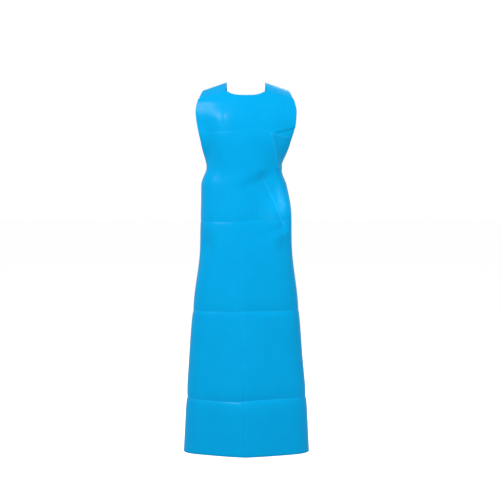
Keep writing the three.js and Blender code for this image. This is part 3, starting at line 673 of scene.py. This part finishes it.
def vinyl_material():
    """Coated vinyl: a fine pebbled grain over a faint woven base cloth, paler along creases (partly
    stress whitening, partly a painted highlight).
    """
    shade = Shade("coated_vinyl", BLUE, 0.36, Specular_IOR_Level=VINYL_GLOSS)
    cloth = shade.cloth()
    mottle = shade.noise(cloth, 0.016, 4.0)
    # The crease attribute paints paler lines: partly stress whitening, partly a painted highlight on the
    # creases and edges.
    crease_and_highlight = shade.node("ShaderNodeAttribute", attribute_name="crease_and_highlight").outputs["Fac"]
    tone_and_highlight = shade.math("ADD", shade.span(mottle, 0.22, 0.38, 0.3, 0.7), shade.span(crease_and_highlight, 0.0, 0.62))
    shade.colors(tone_and_highlight, (0.18, BLUE_DEEP), (0.34, BLUE), (1.0, BLUE_CREASE_AND_HIGHLIGHT))
    grain = shade.noise(cloth, 1.1, 2.0)
    weave = shade.math("MULTIPLY", shade.wave(cloth, 0.42, "X"), shade.wave(cloth, 0.42, "Y"))
    shade.rough(shade.math("ADD", shade.math("MULTIPLY", mottle, 0.7), crease_and_highlight), 0.20, 0.32)
    shade.bump(grain, 0.00008, 0.5)
    shade.bump(weave, 0.00004, 0.35)
    return shade.material


def strap_material():
    """The same vinyl without the printed-through base cloth, for straps, tabs and patches."""
    shade = Shade("welded_vinyl", BLUE, 0.36, Specular_IOR_Level=VINYL_GLOSS)
    cloth = shade.cloth()
    mottle = shade.noise(cloth, 0.02, 4.0)
    shade.colors(shade.span(mottle, 0.1, 0.9, 0.3, 0.7), (0.0, BLUE_DEEP), (0.6, BLUE), (1.0, BLUE))
    shade.rough(mottle, 0.30, 0.44)
    shade.bump(shade.noise(cloth, 1.1, 2.0), 0.00008, 0.5)
    return shade.material


def elastic_material():
    """Knitted elastic: ribs along the strip, fine courses across them."""
    shade = Shade("knitted_elastic", (0.83, 0.85, 0.87), 0.82, Sheen_Weight=0.15)
    cloth = shade.cloth()
    ribs = shade.wave(cloth, 0.21, "X")
    courses = shade.wave(cloth, 0.30, "Y")
    pattern = shade.math("MULTIPLY", shade.span(courses, 0.55, 1.0), ribs)
    fuzz = shade.noise(cloth, 2.4, 3.0)
    shade.woven(pattern, fuzz, 0.75, (0.62, 0.65, 0.69), (0.84, 0.86, 0.88), (0.93, 0.94, 0.95))
    shade.rough(fuzz, 0.74, 0.92)
    shade.bump(pattern, 0.00035, 0.8)
    shade.bump(fuzz, 0.0001, 0.4)
    return shade.material


def webbing_material():
    """Woven polyester webbing: slanted ribs that change direction at the middle."""
    shade = Shade("woven_webbing", (0.80, 0.83, 0.87), 0.78, Sheen_Weight=0.1)
    cloth = shade.cloth()
    split = shade.node("ShaderNodeSeparateXYZ")
    shade.link(cloth, split.inputs["Vector"])
    folded = shade.math("ABSOLUTE", split.outputs["X"], 0.0)
    slanted = shade.node("ShaderNodeCombineXYZ")
    shade.link(shade.math("ADD", split.outputs["Y"], folded), slanted.inputs["X"])
    shade.link(split.outputs["X"], slanted.inputs["Y"])
    twill = shade.wave(slanted.outputs["Vector"], 0.24, "X")
    yarns = shade.wave(slanted.outputs["Vector"], 0.45, "Y")
    pattern = shade.math("MULTIPLY", twill, shade.span(yarns, 0.6, 1.0))
    fuzz = shade.noise(cloth, 2.0, 3.0)
    shade.woven(pattern, fuzz, 0.7, (0.60, 0.64, 0.69), (0.80, 0.83, 0.86), (0.90, 0.92, 0.94))
    shade.rough(fuzz, 0.68, 0.88)
    shade.bump(pattern, 0.0003, 0.8)
    return shade.material


def thread_material():
    shade = Shade("white_thread", (0.82, 0.84, 0.86), 0.6)
    twist = shade.wave(shade.place(), 700.0, "DIAGONAL")
    shade.colors(twist, (0.0, (0.70, 0.72, 0.75)), (1.0, (0.88, 0.89, 0.91)))
    shade.bump(twist, 0.0001, 0.5)
    return shade.material


def plastic_material():
    """Moulded acetal: a fine sparked texture, with faint flow marks."""
    shade = Shade("moulded_acetal", (0.84, 0.85, 0.86), 0.42, Specular_IOR_Level=0.45)
    place = shade.place()
    flow = shade.noise(shade.stretched(place, (18.0, 60.0, 60.0)), 4.0, 3.0)
    shade.colors(flow, (0.25, (0.80, 0.81, 0.83)), (0.75, (0.87, 0.88, 0.89)))
    shade.rough(flow, 0.36, 0.50)
    shade.bump(shade.noise(place, 1800.0, 2.0), 0.00006, 0.35)
    return shade.material


def metal_material(name, color, low, high, stretch):
    """Plated or satin steel: fine drawing marks and a slightly uneven plating."""
    shade = Shade(name, color, low, Metallic=1.0)
    place = shade.place()
    marks = shade.noise(shade.stretched(place, stretch), 260.0, 4.0)
    cloudy = shade.noise(place, 90.0, 3.0)
    dark = tuple(c * 0.82 for c in color)
    shade.colors(cloudy, (0.3, dark), (0.65, color))
    shade.rough(marks, low, high)
    shade.bump(marks, 0.00004, 0.3)
    return shade.material


def label_material():
    """Blank woven label film with a satin face."""
    shade = Shade("label_film", (0.86, 0.87, 0.88), 0.55)
    cloth = shade.cloth()
    weft = shade.wave(cloth, 0.9, "Y")
    shade.colors(weft, (0.0, (0.78, 0.79, 0.81)), (1.0, (0.89, 0.90, 0.91)))
    shade.rough(shade.noise(cloth, 0.4), 0.48, 0.66)
    shade.bump(weft, 0.00008, 0.5)
    return shade.material


VINYL = vinyl_material()
STRAP_VINYL = strap_material()
ELASTIC = elastic_material()
WEBBING = webbing_material()
THREAD = thread_material()
PLASTIC = plastic_material()
RING_METAL = metal_material("nickel_wire", (0.74, 0.74, 0.73), 0.16, 0.30, (1.0, 1.0, 6.0))
HOOK_METAL = metal_material("satin_steel", (0.60, 0.61, 0.62), 0.28, 0.46, (8.0, 1.0, 1.0))
RIVET_METAL = metal_material("nickel_rivet", (0.72, 0.72, 0.71), 0.20, 0.36, (1.0, 1.0, 1.0))
LABEL = label_material()


# ---- the apron body ----
def warped(start, end, count, density):
    """Places from start to end, closer together where `density` is higher."""
    fine = np.linspace(start, end, 4000)
    weight = np.concatenate([[0.0], np.cumsum((density(fine[1:]) + density(fine[:-1])) / 2)])
    return np.interp(np.linspace(0, weight[-1], count), weight, fine)


def row_density(z):
    """Rows lie closer above the thighs and at the level folds."""
    total = 1.0 + 1.2 * (z > -520)
    for height, _ in LEVEL_FOLDS:
        total = total + 4.0 * np.exp(-((z - height) / 16.0) ** 2)
    return total


def column_density(u):
    """Columns lie closer at the middle fold and around the facets on the right."""
    middle = 3.0 * np.exp(-(u / 0.05) ** 2)
    return 1.0 + middle + 1.0 * np.exp(-((u - 0.42) / 0.22) ** 2)


GRID_COLUMNS, GRID_ROWS, TOP_ROWS = 184, 252, 12


def body_places():
    """Arcs and heights of the sheet's grid: level rows, then rows that close on the top edge."""
    u = warped(-1.0, 1.0, GRID_COLUMNS, column_density)
    level = warped(-HEM_DROP, TOP_ROW, GRID_ROWS, row_density)
    z = np.repeat(level[:, None], GRID_COLUMNS, axis=1)
    top = np.maximum(top_edge(u), TOP_ROW + 4)
    share = np.linspace(0, 1, TOP_ROWS + 1)[1:, None]
    z = np.concatenate([z, TOP_ROW + (top - TOP_ROW) * share])
    return u * half_flats(z), z


def crease_and_highlight_marks(arcs, z):
    """How close each point is to a sharp crease, from 0 to 1: the paler lines painted there are partly
    stress whitening and partly a painted highlight.
    """
    marks = np.zeros_like(arcs)
    for height, depth in LEVEL_FOLDS:
        distance = z - fold_line(arcs, height)
        marks = np.maximum(marks, 0.07 * depth * np.exp(-np.abs(distance) / 2.0))
    # The middle fold's pale line, stronger lower down: partly stress whitening, partly a painted
    # highlight.
    whitening_and_highlight = 0.05 + 0.2 * below(z, SKIRT_START, SKIRT_GROWTH)
    marks = np.maximum(marks, whitening_and_highlight * np.exp(-np.abs(arcs) / 2.0))
    # Strong pale lines along the facet and dent edges: mostly a painted highlight on those bright edges,
    # partly stress whitening.
    for start, end in (DENT_SIDE, DENT_TOP, FACET_EDGE):
        right, share = beside_line(arcs, z, start, end)
        marks = np.maximum(marks, 0.9 * window(share) * np.exp(-np.abs(right) / 1.8))
    return np.clip(marks, 0, 1)


def on_sheet(arcs, z, offset):
    """Points on the creased sheet, at an offset from its middle."""
    return form_points(arcs, z) + form_normals(arcs, z) * (wrinkle(arcs, z) + offset)[..., None]


def make_body():
    arcs, z = body_places()
    grid = on_sheet(arcs, z, 0.0)
    # The middle fold hangs a little to the left, most at the chest.
    sideways = -18 + 11 * below(z, -300, 900) + 1.5 * np.sin(z / 90.0)
    grid[..., 0] += sideways * np.exp(-(arcs / 90.0) ** 2) * below(z, TOP_ROW, 60)
    cloth = np.stack([arcs, z, np.zeros_like(z)], axis=-1)
    piece = make_object("apron_sheet", *sheet_parts(grid, BODY_SHEET / 2, BODY_SHEET / 2, cloth))
    # The crease attribute paints paler lines on the sheet: partly stress whitening, partly a painted
    # highlight.
    marks = crease_and_highlight_marks(arcs, z).ravel()
    rest = len(piece.data.vertices) - 2 * len(marks)
    crease_and_highlight = piece.data.attributes.new("crease_and_highlight", "FLOAT", "POINT")
    crease_and_highlight.data.foreach_set("value", np.concatenate([marks, marks, np.zeros(rest)]).astype(np.float32))
    finish_piece(piece, "apron", ["apron_body"], "vinyl_sheet", VINYL)


# ---- the runs: tab, ring, hook, elastic, slider and strap end ----
Run = namedtuple("Run", "side anchor heading origin along out across length")


def side_name(side):
    return "right" if side > 0 else "left"


def make_run(side):
    """The straight line from a lower corner of the bib to the crossing, with its own frame."""
    anchor = np.array([side * (CORNER_HALF - TAB_INSET), -CORNER_DROP - TAB_DROP])
    goal = np.array([0.0, CROSS_Y, CROSS_Z])
    aim = goal - on_form(*anchor, RUN_OFFSET)
    ahead = unit(form_points(anchor[0] + side * 4, anchor[1]) - form_points(*anchor))
    heading = unit(np.array([side * aim @ ahead, aim[2]]))
    edge = anchor + heading * TAB_LAP
    origin = on_form(*edge, RUN_OFFSET)
    along = unit(goal - origin)
    outward = form_normals(*edge)
    out = unit(outward - along * (outward @ along))
    return Run(side, anchor, heading, origin, along, out, np.cross(out, along),
               np.linalg.norm(goal - origin))


def run_point(run, b, n, t):
    b, n, t = (np.asarray(v, dtype=float)[..., None] for v in (b, n, t))
    return run.origin + run.across * b + run.out * n + run.along * t


def run_row(run, width, n, t, q):
    return run_point(run, q * width / 2, np.full_like(q, n), np.full_like(q, t))


def turn_rows(run, width, radius, t, away, q, steps=18):
    rows = []
    for a in np.radians(np.linspace(-90, 90, steps + 1)):
        rows.append(run_row(run, width, radius * math.sin(a), t + away * radius * math.cos(a), q))
    return rows


RUNS = {side: make_run(side) for side in (-1, 1)}


def make_tab(run):
    q = np.linspace(-1, 1, 27)

    def lapped(p, offset):
        arc, z = run.anchor + run.heading * p
        return on_form(arc - run.heading[1] * q * TAB_WIDTH / 2,
                       z + run.heading[0] * q * TAB_WIDTH / 2, offset)

    places = (-6, 6, 18)
    radius = RING_WIRE / 2 + 0.5 + TAB_SHEET / 2
    rows = [lapped(p, TAB_INNER) for p in places]
    rows.append(run_row(run, TAB_WIDTH, -radius, RING_BAR - 5, q))
    rows += turn_rows(run, TAB_WIDTH, radius, RING_BAR, 1, q, 8)
    rows.append(run_row(run, TAB_WIDTH, radius, RING_BAR - 5, q))
    rows += [lapped(p, TAB_OUTER) for p in places[::-1]]
    grid = spline_rows(rows, 5)
    groove = weld_groove(grid.shape, 3, 0.12)
    name = side_name(run.side)
    vinyl_piece(f"ring_tab_welded_{name}", grid, TAB_SHEET / 2 - groove, TAB_SHEET / 2,
                f"ring_tab_{name}")


def weld_groove(shape, inset, depth):
    """A shallow pressed line all round a grid, `inset` cells from its edges."""
    rows, cols = shape[:2]
    r, c = np.mgrid[:rows, :cols]
    edge = np.minimum(np.minimum(r, rows - 1 - r), np.minimum(c, cols - 1 - c))
    return depth * np.exp(-((edge - inset) / 0.8) ** 2)


def wire_parts(path, normal, wire, sides=14):
    """A round wire along a closed flat path."""
    tangent = unit(np.roll(path, -1, axis=0) - np.roll(path, 1, axis=0))
    around = spokes(np.cross(tangent, normal)[:, None], normal, sides)
    vertices = (path[:, None] + around * wire / 2).reshape(-1, 3)
    # The same corners taken the other way round, so that the faces look outwards.
    faces = ring_faces(len(path), sides, closed=True)[:, [0, 3, 2, 1]]
    return vertices, faces.tolist(), vertices


def make_ring(run):
    """A straight bar closed by a bulging bow, with its corners smoothed."""
    half_width = TAB_WIDTH / 2 + 3
    half_bar = half_width - 1.5
    bulge, corner = 0.75, 2.0
    a = np.linspace(0, np.pi, 81)
    b = half_width * np.sign(np.cos(a)) * np.abs(np.cos(a)) ** bulge
    t = RING_BAR + corner + (RING_DEPTH - corner) * np.abs(np.sin(a)) ** bulge
    bar = np.linspace(-half_bar, half_bar, 33)
    b = np.concatenate([bar, b])
    t = np.concatenate([np.full(33, RING_BAR), t])
    path = run_point(run, b, np.zeros_like(b), t)
    for _ in range(3):
        path = (np.roll(path, 1, axis=0) + 2 * path + np.roll(path, -1, axis=0)) / 4
    side = side_name(run.side)
    piece = make_object(f"d_ring_wire_{side}", *wire_parts(path, run.out, RING_WIRE))
    finish_piece(piece, f"d_ring_{side}", [f"d_ring_{side}"], "ring_metal", RING_METAL)


def ribbed(q, shape, thickness, ribs, height):
    """Half thicknesses of a strip with lengthwise ribs."""
    wave = height * np.cos(np.pi * q * ribs)
    return np.broadcast_to(thickness / 2 + wave - height, shape)


def make_elastic(run):
    q = np.linspace(-1, 1, 61)
    settled = BAR_CENTRE + 12
    end = run.length - STRAP_TAIL
    ends = (end + ELASTIC_LAP, end, settled)
    rows = [run_row(run, ELASTIC_WIDTH, -LAYER_HALF, t, q) for t in ends]
    rows += turn_rows(run, ELASTIC_WIDTH, TURN_RADIUS, BAR_CENTRE, -1, q)
    rows += [run_row(run, ELASTIC_WIDTH, LAYER_HALF, t, q) for t in (settled, TAIL_END)]
    grid = even_rows(rows, 2.0)
    half = ribbed(q, grid.shape[:2], ELASTIC_THICK, 12, 0.07)
    top = LAYER_HALF + ELASTIC_THICK / 2

    def on_tail(b, t):
        return run_point(run, b, top, TAIL_END - 3 + t), run.out

    def on_strap(b, t):
        under = -LAYER_HALF + ELASTIC_THICK / 2
        return run_point(run, b, under, end + ELASTIC_LAP / 2 + t), run.out

    name = side_name(run.side)
    piece = stitched_strip(
        f"elastic_{name}", grid, half,
        stitched_box(on_tail, (ELASTIC_WIDTH / 2 - 3, 1.5), crossed=False),
        stitched_box(on_strap, (ELASTIC_WIDTH / 2 - 2.2, ELASTIC_LAP / 2 - 2.5)))
    finish_piece(piece, "apron", [f"elastic_strap_{name}"], "white_elastic", ELASTIC, THREAD)


def stitched_strip(name, grid, half, *tacks):
    """A strip and its stitches as one mesh, with a material for each."""
    strip = sheet_parts(grid, half, half)
    piece = make_object(name, *joined(strip, *tacks))
    indices = np.zeros(len(piece.data.polygons), dtype=np.int32)
    indices[len(strip[1]):] = 1
    piece.data.polygons.foreach_set("material_index", indices)
    return piece


# ---- the shoulder straps and the crossing ----
# The lap reaches a little further out than the solid's, so that it fills the sheet's corner.
LAP_EXTRA = 0.03


def back_point(x, z, offset):
    """Points behind the wearer's back, which falls away on both sides of its ridge."""
    rows = np.array([between(BACK_LINE, float(v)) for v in z])
    away = np.hypot(x, RIDGE_RADIUS) - RIDGE_RADIUS
    return np.stack([x, rows[:, 0] - rows[:, 1] * away + offset, z], axis=-1)


def strap_rows(run, layer):
    """Rows from the lap on the bib, over the shoulder and the crossing, to the elastic."""
    side = -run.side
    q = np.linspace(-1, 1, 41)
    share = (q * side + 1) / 2

    def front(drop, lift):
        u = STRAP_SHARE[0] + (STRAP_SHARE[1] + LAP_EXTRA - STRAP_SHARE[0]) * share
        z = top_edge(u) - drop
        return on_sheet(side * u * half_flats(z), z, lift)

    def crown(y):
        x = CROWN_INNER[0] + (CROWN_OUTER[0] - CROWN_INNER[0]) * share
        return np.stack([side * x, np.full_like(x, y),
                         CROWN_INNER[1] + (CROWN_OUTER[1] - CROWN_INNER[1]) * share], axis=-1)

    def back(x, z, width, tilt, lift):
        reach = q * side * width / 2
        return back_point(side * (x + reach * math.cos(tilt)), z - reach * math.sin(tilt), lift)

    # The lap is welded to the sheet's inner face.
    flush = -(BODY_SHEET / 2 + STRAP_SHEET / 2 + 0.15)
    rows = [front(drop, flush) for drop in (STRAP_LAP, STRAP_LAP / 2, 1)]
    rows += [crown(CROWN_FRONT), crown(CROWN_BACK)]
    rows.append(back(99, -42, 76, math.radians(24), 0.5))
    rows.append(back(72, -88, 62, math.radians(32), 0.8 + layer / 2))
    for past in (-62, -42, -21, 0, 21, 40):
        width = STRAP_END + max(0, -past - 30) * 0.3
        rows.append(back(-past * math.sin(CROSS_TILT), CROSS_Z - past * math.cos(CROSS_TILT),
                         width, CROSS_TILT, CROSS_LIFT + layer))
    end = run.length - STRAP_TAIL
    for past in (ELASTIC_LAP + 5, ELASTIC_LAP, ELASTIC_LAP / 2, 0):
        rows.append(run_row(run, STRAP_END, STRAP_UNDER, end + past, q))
    return rows


def make_strap(run):
    layer = 0.0 if run.side > 0 else STRAP_LAYER
    grid = spline_rows(strap_rows(run, layer), 14)
    rows, cols = grid.shape[:2]
    r, c = np.mgrid[:rows, :cols]
    # Fine ribs that the welding bar leaves across the lap, and a slight pull across the shoulder.
    lap = smoothstep((26 - r) / 3.0) * smoothstep((r - 2) / 2.0) * smoothstep((c - 1) / 2.0) \
        * smoothstep((cols - 2 - c) / 2.0)
    ribs = 0.07 * lap * (1 + np.cos(np.pi * r / 2.0))
    free = np.sin(np.pi * np.clip((r - 30) / (rows - 60), 0, 1))
    pull = 0.5 * free * np.sin(c / cols * 9.0 + r / 23.0) * np.sin(r / 17.0)
    grid = grid + grid_normals(grid) * pull[..., None]
    name = side_name(-run.side)
    vinyl_piece(f"strap_{name}", grid, STRAP_SHEET / 2, STRAP_SHEET / 2 - ribs,
                f"shoulder_strap_{name}")


def make_cross_patch():
    q = np.linspace(-1, 1, 45)
    reach = CROSS_PATCH_HALF / math.sqrt(2)
    grid = np.array([back_point((p + q) * reach, CROSS_Z + (p - q) * reach, PATCH_LIFT) for p in q])
    groove = weld_groove(grid.shape, 4, 0.15)
    vinyl_piece("cross_patch", grid, PATCH_SHEET / 2 - groove, PATCH_SHEET / 2, "back_cross_patch")


def inner_rectangle(arc, z, half, sheet, count):
    """A grid of middle points for a piece that lies flat on the apron's inner face."""
    q = np.linspace(-1, 1, count)
    return on_form((arc + half[0] * q)[None, :], (z + half[1] * q)[:, None], -(LAP + sheet / 2))


def make_corner_patch(side):
    half = (side * 34, 36)
    grid = inner_rectangle(side * (CORNER_HALF - 40), -CORNER_DROP - 42, half, PATCH_SHEET, 41)
    groove = weld_groove(grid.shape, 3, 0.15)
    name = side_name(side)
    vinyl_piece(f"patch_{name}", grid, PATCH_SHEET / 2, PATCH_SHEET / 2 - groove,
                f"corner_patch_{name}")


def make_label():
    grid = inner_rectangle(LABEL_ARC, LABEL_Z, LABEL_HALF, LABEL_SHEET, 33)
    groove = weld_groove(grid.shape, 2, 0.06)
    parts = sheet_parts(grid, LABEL_SHEET / 2, LABEL_SHEET / 2 - groove)
    piece = make_object("blank_label", *parts)
    finish_piece(piece, "apron", ["size_label_blank"], "label_film", LABEL)


# ---- the waist belt ----
def make_belt(side, tail):
    q = np.linspace(-1, 1, 31)
    edge = CORNER_HALF + 6

    def column(x, y):
        heights = BELT_Z + q * BELT_WIDTH / 2
        return np.stack([np.full_like(q, side * x), np.full_like(q, y), heights], axis=-1)

    rows = [on_form(side * (edge - inside), BELT_Z + q * BELT_WIDTH / 2, BELT_OFFSET)
            for inside in range(66, 0, -12)]
    leave = on_form(side * edge, BELT_Z, BELT_OFFSET + 0.6)
    start = np.array([abs(leave[0]), leave[1]])
    goal = np.array([BAR_REACH + 8, BELT_Y - BELT_TURN])
    straight = goal - start
    out = unit(np.array([straight[1], -straight[0]]))

    def at(t, n):
        return start + straight * t + out * n

    rows += [column(*at(t, 0)) for t in (0, 0.5, 1)]
    for a in np.radians(np.linspace(-90, 90, 13)):
        rows.append(column(BAR_REACH - BELT_TURN * math.cos(a), BELT_Y + BELT_TURN * math.sin(a)))
    rows += [column(*at(0.9 - tail * share, BELT_APART)) for share in (0, 0.5, 1)]
    grid = even_rows(rows, 2.5)
    half = ribbed(q, grid.shape[:2], BELT_THICK, 2, 0.04)
    face = np.array([side * out[0], out[1], 0.0])

    def on_tail(b, t):
        spot = at(0.9 - tail, BELT_APART) - unit(straight) * (t - 6)
        spot = spot + out * BELT_THICK / 2
        return np.array([side * spot[0], spot[1], BELT_Z + b]), face

    def on_apron(b, t):
        arc = side * (edge - 43 + t)
        return on_form(arc, BELT_Z + b, BELT_OFFSET + BELT_THICK / 2), form_normals(arc, BELT_Z + b)

    name = side_name(side)
    piece = stitched_strip(
        f"belt_{name}", grid, half,
        stitched_box(on_tail, (BELT_WIDTH / 2 - 2.5, 2.0), crossed=False),
        stitched_box(on_apron, (BELT_WIDTH / 2 - 2.5, 19.0)))
    body = "apron" if side < 0 else None
    finish_piece(piece, body, [f"waist_belt_{name}"], "white_webbing", WEBBING, THREAD)
    if side > 0:
        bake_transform(piece)


# ---- rivets ----
def make_rivet(name, point, normal, stack):
    """A domed cap, a shank and a rolled washer through a stack of layers."""
    cap, shank = RIVET_CAP / 2, RIVET_SHANK / 2
    outer = stack / 2 + RIVET_GAP
    foot = -outer - RIVET_WASHER
    profile = [(0, foot + 0.35), (1.1, foot + 0.35), (1.5, foot + 0.05), (cap - 0.35, foot),
               (cap, foot + 0.3), (cap, -outer - 0.15), (cap - 0.2, -outer), (shank, -outer),
               (shank, outer), (cap - 0.2, outer), (cap, outer + 0.2)]
    for share in np.linspace(0.15, 0.98, 7):
        radius = cap * math.cos(share * math.pi / 2) ** 0.7
        profile.append((radius, outer + 0.2 + (RIVET_HEIGHT - 0.2) * math.sin(share * math.pi / 2)))
    profile.append((0, outer + RIVET_HEIGHT))
    piece = make_object(name + "_set", *lathe_parts(profile, point, normal))
    piece.data.set_sharp_from_angle(angle=math.radians(50))
    finish_piece(piece, "apron", [name], "rivet_metal", RIVET_METAL)


def make_rivets(side):
    name, run = side_name(side), RUNS[side]
    back = -(LAP + PATCH_SHEET)

    def through(label, arc, z, high):
        make_rivet(label, on_form(arc, z, (back + high) / 2), form_normals(arc, z), high - back)

    for label, q in (("outer", 1), ("inner", -1)):
        arc, z = run.anchor + run.heading * 2 + np.array([-run.heading[1], run.heading[0]]) * q * 7
        through(f"tab_rivet_{label}_{name}", arc, z, TAB_OUTER + TAB_SHEET / 2)
    for label, inside in (("outer", 52), ("inner", 24)):
        through(f"belt_rivet_{label}_{name}", side * (CORNER_HALF - inside), BELT_Z, LAP + BELT_THICK)
    low, high = STRAP_UNDER - STRAP_SHEET / 2, ELASTIC_THICK / 2 - LAYER_HALF
    for label, q in (("upper", 1), ("lower", -1)):
        point = run_point(run, q * 8, (low + high) / 2, run.length - STRAP_TAIL + ELASTIC_LAP / 2)
        make_rivet(f"strap_rivet_{label}_{name}", point, run.out, high - low)


def make_cross_rivet():
    low, high = CROSS_LIFT - STRAP_SHEET / 2, PATCH_LIFT + PATCH_SHEET / 2
    point = back_point(np.zeros(1), np.array([CROSS_Z]), (low + high) / 2)[0]
    make_rivet("back_cross_rivet", point, np.array([0.0, 1.0, 0.0]), high - low)


# ---- hardware kept from the CAD solids, with worked edges ----
def worked_copy(name, node_name, bevel, body, slot, material, extra=()):
    """The CAD solid with its flat faces joined and its edges rounded."""
    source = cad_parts[node_name]
    mesh = bmesh.new()
    mesh.from_mesh(source.data)
    bmesh.ops.remove_doubles(mesh, verts=mesh.verts, dist=1e-6)
    bmesh.ops.dissolve_limit(mesh, angle_limit=math.radians(1.5), verts=mesh.verts, edges=mesh.edges)
    sharp = [e for e in mesh.edges if e.is_manifold and e.calc_face_angle() > math.radians(30)]
    bmesh.ops.bevel(mesh, geom=sharp, offset=bevel * MM, segments=3, profile=0.5, affect="EDGES",
                    clamp_overlap=True)
    for box in extra:
        add_bar(mesh, *box)
    bmesh.ops.triangulate(mesh, faces=[f for f in mesh.faces if len(f.verts) > 4])
    data = bpy.data.meshes.new(name)
    mesh.to_mesh(data)
    mesh.free()
    data.shade_smooth()
    data.set_sharp_from_angle(angle=math.radians(28))
    finish_piece(add_object(name, data), body, [node_name], slot, material)


def add_bar(mesh, size, centre):
    """A small rounded bar, moulded on a face."""
    made = bmesh.ops.create_cube(mesh, size=1.0)["verts"]
    place = Matrix.Translation(Vector(centre) * MM) @ Matrix.Diagonal((*(Vector(size) * MM), 1))
    bmesh.ops.transform(mesh, matrix=place, verts=made)
    edges = {e for v in made for e in v.link_edges}
    bmesh.ops.bevel(mesh, geom=list(edges), offset=min(size) * 0.3 * MM, segments=2, profile=0.5,
                    affect="EDGES", clamp_overlap=True)


def grip_bars(middle, count, pitch, width, face):
    """Raised bars across both broad faces, where fingers press."""
    bars = []
    for k in range(count):
        x = middle + (k - (count - 1) / 2) * pitch
        for side in (-1, 1):
            bars.append(((1.1, 0.9, width), (x, BELT_Y + side * face, BELT_Z)))
    return bars


def make_hardware():
    for side in (-1, 1):
        name = side_name(side)
        worked_copy(f"hook_plate_{name}", f"hook_{name}", 0.35, f"hook_{name}", "hook_metal", HOOK_METAL)
        worked_copy(f"slider_{name}", f"strap_slider_{name}", 0.5, f"strap_slider_{name}",
                    "white_plastic", PLASTIC)
    worked_copy("socket_shell", "buckle_socket", 0.7, "apron", "white_plastic", PLASTIC,
                grip_bars(-13, 3, 2.6, 15, BUCKLE_THICK / 2))
    worked_copy("plug_shell", "buckle_plug", 0.5, "buckle_plug", "white_plastic", PLASTIC,
                grip_bars(12, 5, 2.4, 22, BUCKLE_THICK / 2 - 1))
    worked_copy("keeper_loop", "belt_keeper", 0.4, "belt_keeper", "white_plastic", PLASTIC)


# ---- assembly ----
make_body()
for side in (-1, 1):
    run = RUNS[side]
    make_tab(run)
    make_ring(run)
    make_elastic(run)
    make_strap(run)
    make_corner_patch(side)
    make_belt(side, RIGHT_TAIL if side > 0 else LEFT_TAIL)
    make_rivets(side)
make_cross_patch()
make_cross_rivet()
make_label()
make_hardware()

# ---- stage ----
FLOOR_Z = -1.381
bpy.ops.mesh.primitive_plane_add(size=60, location=(0, 0, FLOOR_Z))
floor = bpy.context.object
floor.name = "floor"
floor_shade = Shade("pale_floor", (0.8, 0.8, 0.8), 0.9, Specular_IOR_Level=0.0,
                    Emission_Color=(1, 1, 1, 1), Emission_Strength=0.62)
floor.data.materials.append(floor_shade.material)
floor.visible_diffuse = False
floor.visible_glossy = False

CAMERA_DISTANCE = 4.5
CAMERA_X, CAMERA_Z = 0.0137, -0.333
AIM_Z = -0.569
SENSOR = 36
VIEW_WIDTH = 1.715
camera_data = bpy.data.cameras.new("camera")
camera_data.sensor_width = SENSOR
camera_data.lens = SENSOR * CAMERA_DISTANCE / VIEW_WIDTH
camera = add_object("camera", camera_data)
camera.location = (CAMERA_X, -CAMERA_DISTANCE, CAMERA_Z)
camera.rotation_euler = (math.pi / 2 - math.atan2(CAMERA_Z - AIM_Z, CAMERA_DISTANCE), 0, 0)
bpy.context.scene.camera = camera

# The backdrop shows white, and the light from all around is weaker than that.
STUDIO_LIGHT = 0.46
world = bpy.data.worlds.new("studio")
bpy.context.scene.world = world
world.use_nodes = True
sky = world.node_tree
soft_light = sky.nodes["Background"]
soft_light.inputs["Color"].default_value = (1, 1, 1, 1)
soft_light.inputs["Strength"].default_value = STUDIO_LIGHT
backdrop = sky.nodes.new("ShaderNodeBackground")
backdrop.inputs["Color"].default_value = (1, 1, 1, 1)
seen = sky.nodes.new("ShaderNodeMixShader")
sky.links.new(sky.nodes.new("ShaderNodeLightPath").outputs["Is Camera Ray"], seen.inputs["Fac"])
sky.links.new(soft_light.outputs["Background"], seen.inputs[1])
sky.links.new(backdrop.outputs["Background"], seen.inputs[2])
sky.links.new(seen.outputs["Shader"], sky.nodes["World Output"].inputs["Surface"])


def hang_light(data, power, place, target):
    data.energy = power
    light = add_object(data.name, data)
    light.location = place
    aim = Vector(target) - Vector(place)
    light.rotation_euler = aim.to_track_quat("-Z", "Y").to_euler()
    return light


def area_light(name, place, target, size, power):
    data = bpy.data.lights.new(name, "AREA")
    data.shape = "RECTANGLE"
    data.size, data.size_y = size
    return hang_light(data, power, place, target)


def spot_light(name, place, target, cone, power):
    data = bpy.data.lights.new(name, "SPOT")
    data.spot_size = math.radians(cone)
    data.spot_blend = 1.0
    data.shadow_soft_size = 0.05
    hang_light(data, power, place, target)


area_light("key", (-2.0, -2.8, 2.0), (0, 0, -0.45), (1.6, 1.4), 107)
area_light("side", (2.7, -2.1, 0.3), (0, 0, -0.5), (0.4, 1.5), 32).visible_glossy = False
area_light("back", (1.4, 3.2, 1.8), (0, 0, -0.5), (1.8, 1.8), 60)
# Two narrow lights that the facet below the waist throws back at the camera.
spot_light("facet_light", (1.34, -2.38, -0.44), (0.118, -0.085, -0.41), 2.5, 60)
spot_light("facet_light_outer", (1.92, -1.95, -0.44), (0.122, -0.085, -0.41), 2.5, 60)

bpy.context.scene.view_settings.view_transform = "Standard"
